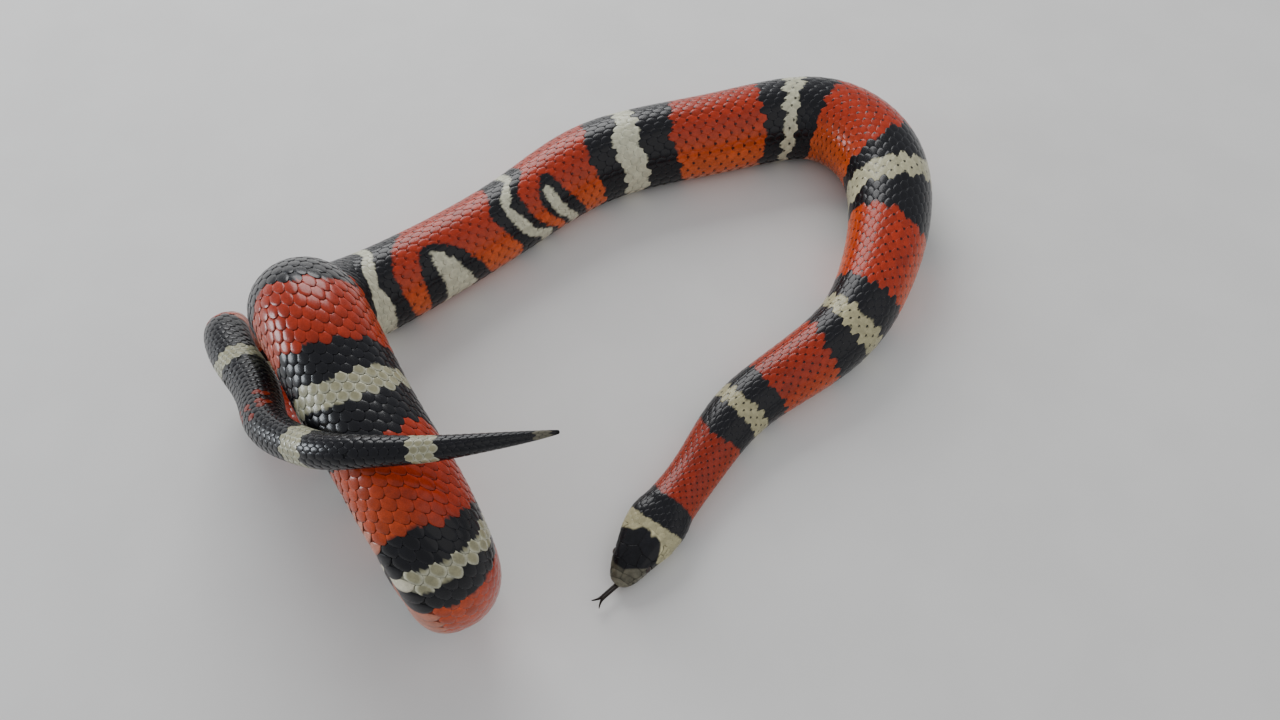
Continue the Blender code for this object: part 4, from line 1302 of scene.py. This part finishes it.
class MILKSNAKE_OT_eyes(bpy.types.Operator):
    """Make both eyes, clear and glossy, with a dark ring round a round pupil"""
    bl_idname = "milk_snake.eyes"
    bl_label = "Eyes"

    AROUND = 56
    # Angles of the rings from the middle of the pupil to the back, closer together where the eye shows.
    POLAR = np.concatenate([np.linspace(0.04, 1.2, 30), np.linspace(1.3, math.pi - 0.05, 10)])
    LOOKS_AHEAD = 0.22
    LOOKS_UP = 0.12
    PUPIL_EDGE = 0.05               # radii over which the pupil gives way to the iris
    IRIS_FADES = (0.12, 0.34)       # radii outside the pupil over which the iris darkens
    IRIS_FADE = 0.75
    DARKEST = 0.002

    def execute(self, context):
        looks = {"Roughness": 0.12, "Specular IOR Level": 0.2, "Coat Weight": 0.7, "Coat Roughness": 0.03}
        material = clouded_material("eye", looks, 9000, (0.6, 1.5), 4.0)
        share = np.array([GIRTH.share_at_height(EYE_STATION, EYE_HEIGHT)])
        angle = GIRTH.angle(np.array([EYE_STATION]), share)
        ahead = -COURSE_LINE.read("ahead", EYE_STATION)
        turn = np.arange(self.AROUND) * 2 * math.pi / self.AROUND
        reach, depth = np.sin(self.POLAR)[:, None, None], np.cos(self.POLAR)[:, None, None]
        rows = len(self.POLAR)
        quads, front, back = closed_faces(rows, self.AROUND, rows * self.AROUND, rows * self.AROUND + 1)
        out = np.sin(self.POLAR)
        pupil = context.scene.milk_snake_sizes.pupil / MM / EYE_RADIUS
        fade_start, fade_end = pupil + self.IRIS_FADES[0], pupil + self.IRIS_FADES[1]
        iris = ease(out, pupil, pupil + self.PUPIL_EDGE)
        iris = iris * (1 - self.IRIS_FADE * ease(out, fade_start, fade_end))
        shade = np.outer(iris, rgb(context.scene.milk_snake_colours.iris)) + self.DARKEST
        shade = np.concatenate([np.repeat(shade, self.AROUND, axis=0), shade[:1], shade[-1:]])
        for word, sign in (("left", 1), ("right", -1)):
            cheek = surface(np.array([EYE_STATION]), sign * angle, plain=True)[0]
            side = sign * COURSE_LINE.read("side", EYE_STATION)
            centre = cheek - side * (EYE_RADIUS - EYE_STANDS_OUT)
            centre[2] = EYE_HEIGHT
            axis = unit(side + self.LOOKS_AHEAD * ahead + np.array((0, 0, self.LOOKS_UP)))
            across = unit(np.cross(axis, (0, 0, 1)))
            upright = np.cross(across, axis)
            ring = np.cos(turn)[:, None] * across + np.sin(turn)[:, None] * upright
            points = centre + EYE_RADIUS * (reach * ring[None] + depth * axis)
            poles = centre + EYE_RADIUS * np.array([axis, -axis])
            add_piece("eyeball_" + word, np.concatenate([points.reshape(-1, 3), poles]),
                      [quads, np.concatenate([front, back])], material, "eye", shade, ["eye_" + word])
        return {"FINISHED"}


class MILKSNAKE_OT_tongue(bpy.types.Operator):
    """Make the forked tongue as two tapering strands that lie together up to the fork"""
    bl_idname = "milk_snake.tongue"
    bl_label = "Tongue"

    RINGS = 48
    AROUND = 24
    ROUNDED = 0.2           # mm over which an end is rounded off
    LEAST_RADIUS = 0.02     # share of the radius left at the very end
    THINNING = 0.62
    HALF_GAP = 0.24         # mm from the middle line to a strand's middle, up to the fork
    RISE = 0.25             # mm by which the middle of the tongue stands over its ends
    ROOT_OUT = 0.15         # mm by which the root lies further out along the tongue's own direction

    def strand(self, root, forward, sideways, sign):
        """Points of one strand: circles carried along a line that leaves its twin past the fork, thinning as
        they go and rounded off at both ends.
        """
        along = np.linspace(0, TONGUE_LENGTH, self.RINGS)
        past = np.clip((along - TONGUE_FORK) / (TONGUE_LENGTH - TONGUE_FORK), 0, 1)
        short = (1 - np.minimum(along, TONGUE_LENGTH - along) / self.ROUNDED).clip(0)
        ends = np.sqrt(np.clip(1 - short ** 2, 0, 1))
        radius = TONGUE_STRAND * (1 - self.THINNING * past) * np.maximum(ends, self.LEAST_RADIUS)
        stray = self.HALF_GAP + TONGUE_SPREAD * past ** 1.5
        rise = self.RISE * np.sin(along / TONGUE_LENGTH * math.pi)
        centre = root + along[:, None] * forward + sign * stray[:, None] * sideways
        centre = centre + rise[:, None] * (0, 0, 1)
        turn = np.arange(self.AROUND) * 2 * math.pi / self.AROUND
        ring = np.sin(turn)[:, None] * sideways + np.cos(turn)[:, None] * np.array((0.0, 0.0, 1.0))
        return (centre[:, None, :] + radius[:, None, None] * ring[None]).reshape(-1, 3)

    def execute(self, context):
        ahead = unit(-COURSE_LINE.ahead[0] * (1, 1, 0))
        turn = np.array([[math.cos(TONGUE_TURN), math.sin(TONGUE_TURN), 0],
                         [-math.sin(TONGUE_TURN), math.cos(TONGUE_TURN), 0],
                         [0, 0, 1]])
        forward = turn @ ahead
        sideways = np.cross(forward, (0, 0, 1))
        root = COURSE_LINE.points[0] + TONGUE_ROOT * ahead + self.ROOT_OUT * forward
        root[2] = TONGUE_HEIGHT
        strands = [self.strand(root, forward, sideways, sign) for sign in (-1, 1)]
        each = self.RINGS * self.AROUND
        quads = repeat_faces(grid_faces(self.RINGS, self.AROUND, closed=True), each, 2)
        caps = np.stack([np.arange(self.AROUND)[::-1], each - self.AROUND + np.arange(self.AROUND)])
        material = clouded_material(
            "tongue", {"Roughness": 0.4, "Specular IOR Level": 0.25}, 4000, (0.6, 1.5))
        points = np.concatenate(strands)
        colours = np.tile(rgb(context.scene.milk_snake_colours.tongue), (len(points), 1))
        add_piece("forked_tongue", points, [quads, repeat_faces(caps, each, 2)], material, "tongue", colours,
                  ["tongue"])
        return {"FINISHED"}


class MILKSNAKE_OT_stage(bpy.types.Operator):
    """Make the pale floor, the soft lights and the camera"""
    bl_idname = "milk_snake.stage"
    bl_label = "Stage"

    # Name, place, size and power of each light; all face the middle of the animal.
    LIGHTS = (
        ("window", (-0.85, 0.06, 0.15), 0.28, 3.4, (0.88, 0.94, 1.0)),
        ("fill", (0.55, -0.35, 0.62), 1.0, 1.5, (1.0, 0.96, 0.90)),
        ("back", (-0.25, 0.80, 0.50), 0.6, 6.6, (1.0, 1.0, 1.0)),
    )
    CAMERA_PLACE = (0.0117, -0.16375, 0.225)
    CAMERA_TILT = math.radians(35)
    SKY = (0.92, 0.95, 1.0, 1)
    SKY_STRENGTH = 0.56
    FLOOR_RINGS = np.array([0.02, 0.1, 0.3, 0.6, 1.0])      # shares of the floor's radius
    FLOOR_POINTS = 96

    def execute(self, context):
        scene = context.scene
        turn = np.arange(self.FLOOR_POINTS) * 2 * math.pi / self.FLOOR_POINTS
        reach = scene.milk_snake_sizes.floor_radius * self.FLOOR_RINGS[:, None]
        x, y = reach * np.cos(turn), reach * np.sin(turn)
        points = np.stack([x, y, np.zeros_like(x)], axis=-1)
        faces = grid_faces(len(points), self.FLOOR_POINTS, closed=True)[:, ::-1].tolist()
        mesh = bpy.data.meshes.new("floor")
        mesh.from_pydata(points.reshape(-1, 3).tolist(), [], faces + [list(range(self.FLOOR_POINTS))])
        material = clouded_material(
            "floor", {"Roughness": 0.75}, 40.0, (0.985, 1.015), tint=scene.milk_snake_colours.floor)
        mesh.materials.append(material)
        floor = bpy.data.objects.new("floor", mesh)
        scene.collection.objects.link(floor)
        floor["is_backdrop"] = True
        low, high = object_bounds()
        target = (low + high) / 2
        for name, where, size, power, colour in self.LIGHTS:
            lamp = bpy.data.lights.new(name, "AREA")
            lamp.shape = "SQUARE"
            lamp.size = size
            lamp.energy = power
            lamp.color = colour
            light = bpy.data.objects.new(name, lamp)
            light.location = where
            light.rotation_euler = (target - light.location).to_track_quat("-Z", "Y").to_euler()
            scene.collection.objects.link(light)
        world = bpy.data.worlds.new("studio")
        world.use_nodes = True
        background = world.node_tree.nodes["Background"]
        background.inputs["Color"].default_value = self.SKY
        background.inputs["Strength"].default_value = self.SKY_STRENGTH
        scene.world = world
        lens = bpy.data.cameras.new("camera")
        lens.lens = scene.milk_snake_sizes.lens
        lens.sensor_width = 36
        lens.clip_start = 0.005
        camera = bpy.data.objects.new("camera", lens)
        camera.location = self.CAMERA_PLACE
        camera.rotation_euler = (self.CAMERA_TILT, 0, 0)
        scene.collection.objects.link(camera)
        scene.camera = camera
        return {"FINISHED"}


PIECES = (MILKSNAKE_OT_skin, MILKSNAKE_OT_scales, MILKSNAKE_OT_belly_plates, MILKSNAKE_OT_head_shields,
          MILKSNAKE_OT_eyes, MILKSNAKE_OT_tongue, MILKSNAKE_OT_stage)


class MILKSNAKE_PT_panel(bpy.types.Panel):
    """Lists the settings and the pieces of the milk snake"""
    bl_idname = "MILKSNAKE_PT_panel"
    bl_label = "Milk Snake"
    bl_space_type = "VIEW_3D"
    bl_region_type = "UI"
    bl_category = "Milk Snake"

    def draw(self, context):
        for settings in (context.scene.milk_snake_sizes, context.scene.milk_snake_colours):
            box = self.layout.box()
            for name in settings.__annotations__:
                box.prop(settings, name)
        for piece in PIECES:
            self.layout.operator(piece.bl_idname)


CLASSES = (MilkSnakeSizes, MilkSnakeColours, *PIECES, MILKSNAKE_PT_panel)


def register():
    """Makes the classes and both groups of settings known."""
    for made in CLASSES:
        bpy.utils.register_class(made)
    bpy.types.Scene.milk_snake_sizes = bpy.props.PointerProperty(type=MilkSnakeSizes)
    bpy.types.Scene.milk_snake_colours = bpy.props.PointerProperty(type=MilkSnakeColours)


def unregister():
    """Takes back what register did."""
    del bpy.types.Scene.milk_snake_colours
    del bpy.types.Scene.milk_snake_sizes
    for made in reversed(CLASSES):
        bpy.utils.unregister_class(made)


def main():
    """Makes every piece."""
    register()
    bpy.ops.milk_snake.skin()
    bpy.ops.milk_snake.scales()
    bpy.ops.milk_snake.belly_plates()
    bpy.ops.milk_snake.head_shields()
    bpy.ops.milk_snake.eyes()
    bpy.ops.milk_snake.tongue()
    bpy.ops.milk_snake.stage()


if __name__ == "__main__":
    main()
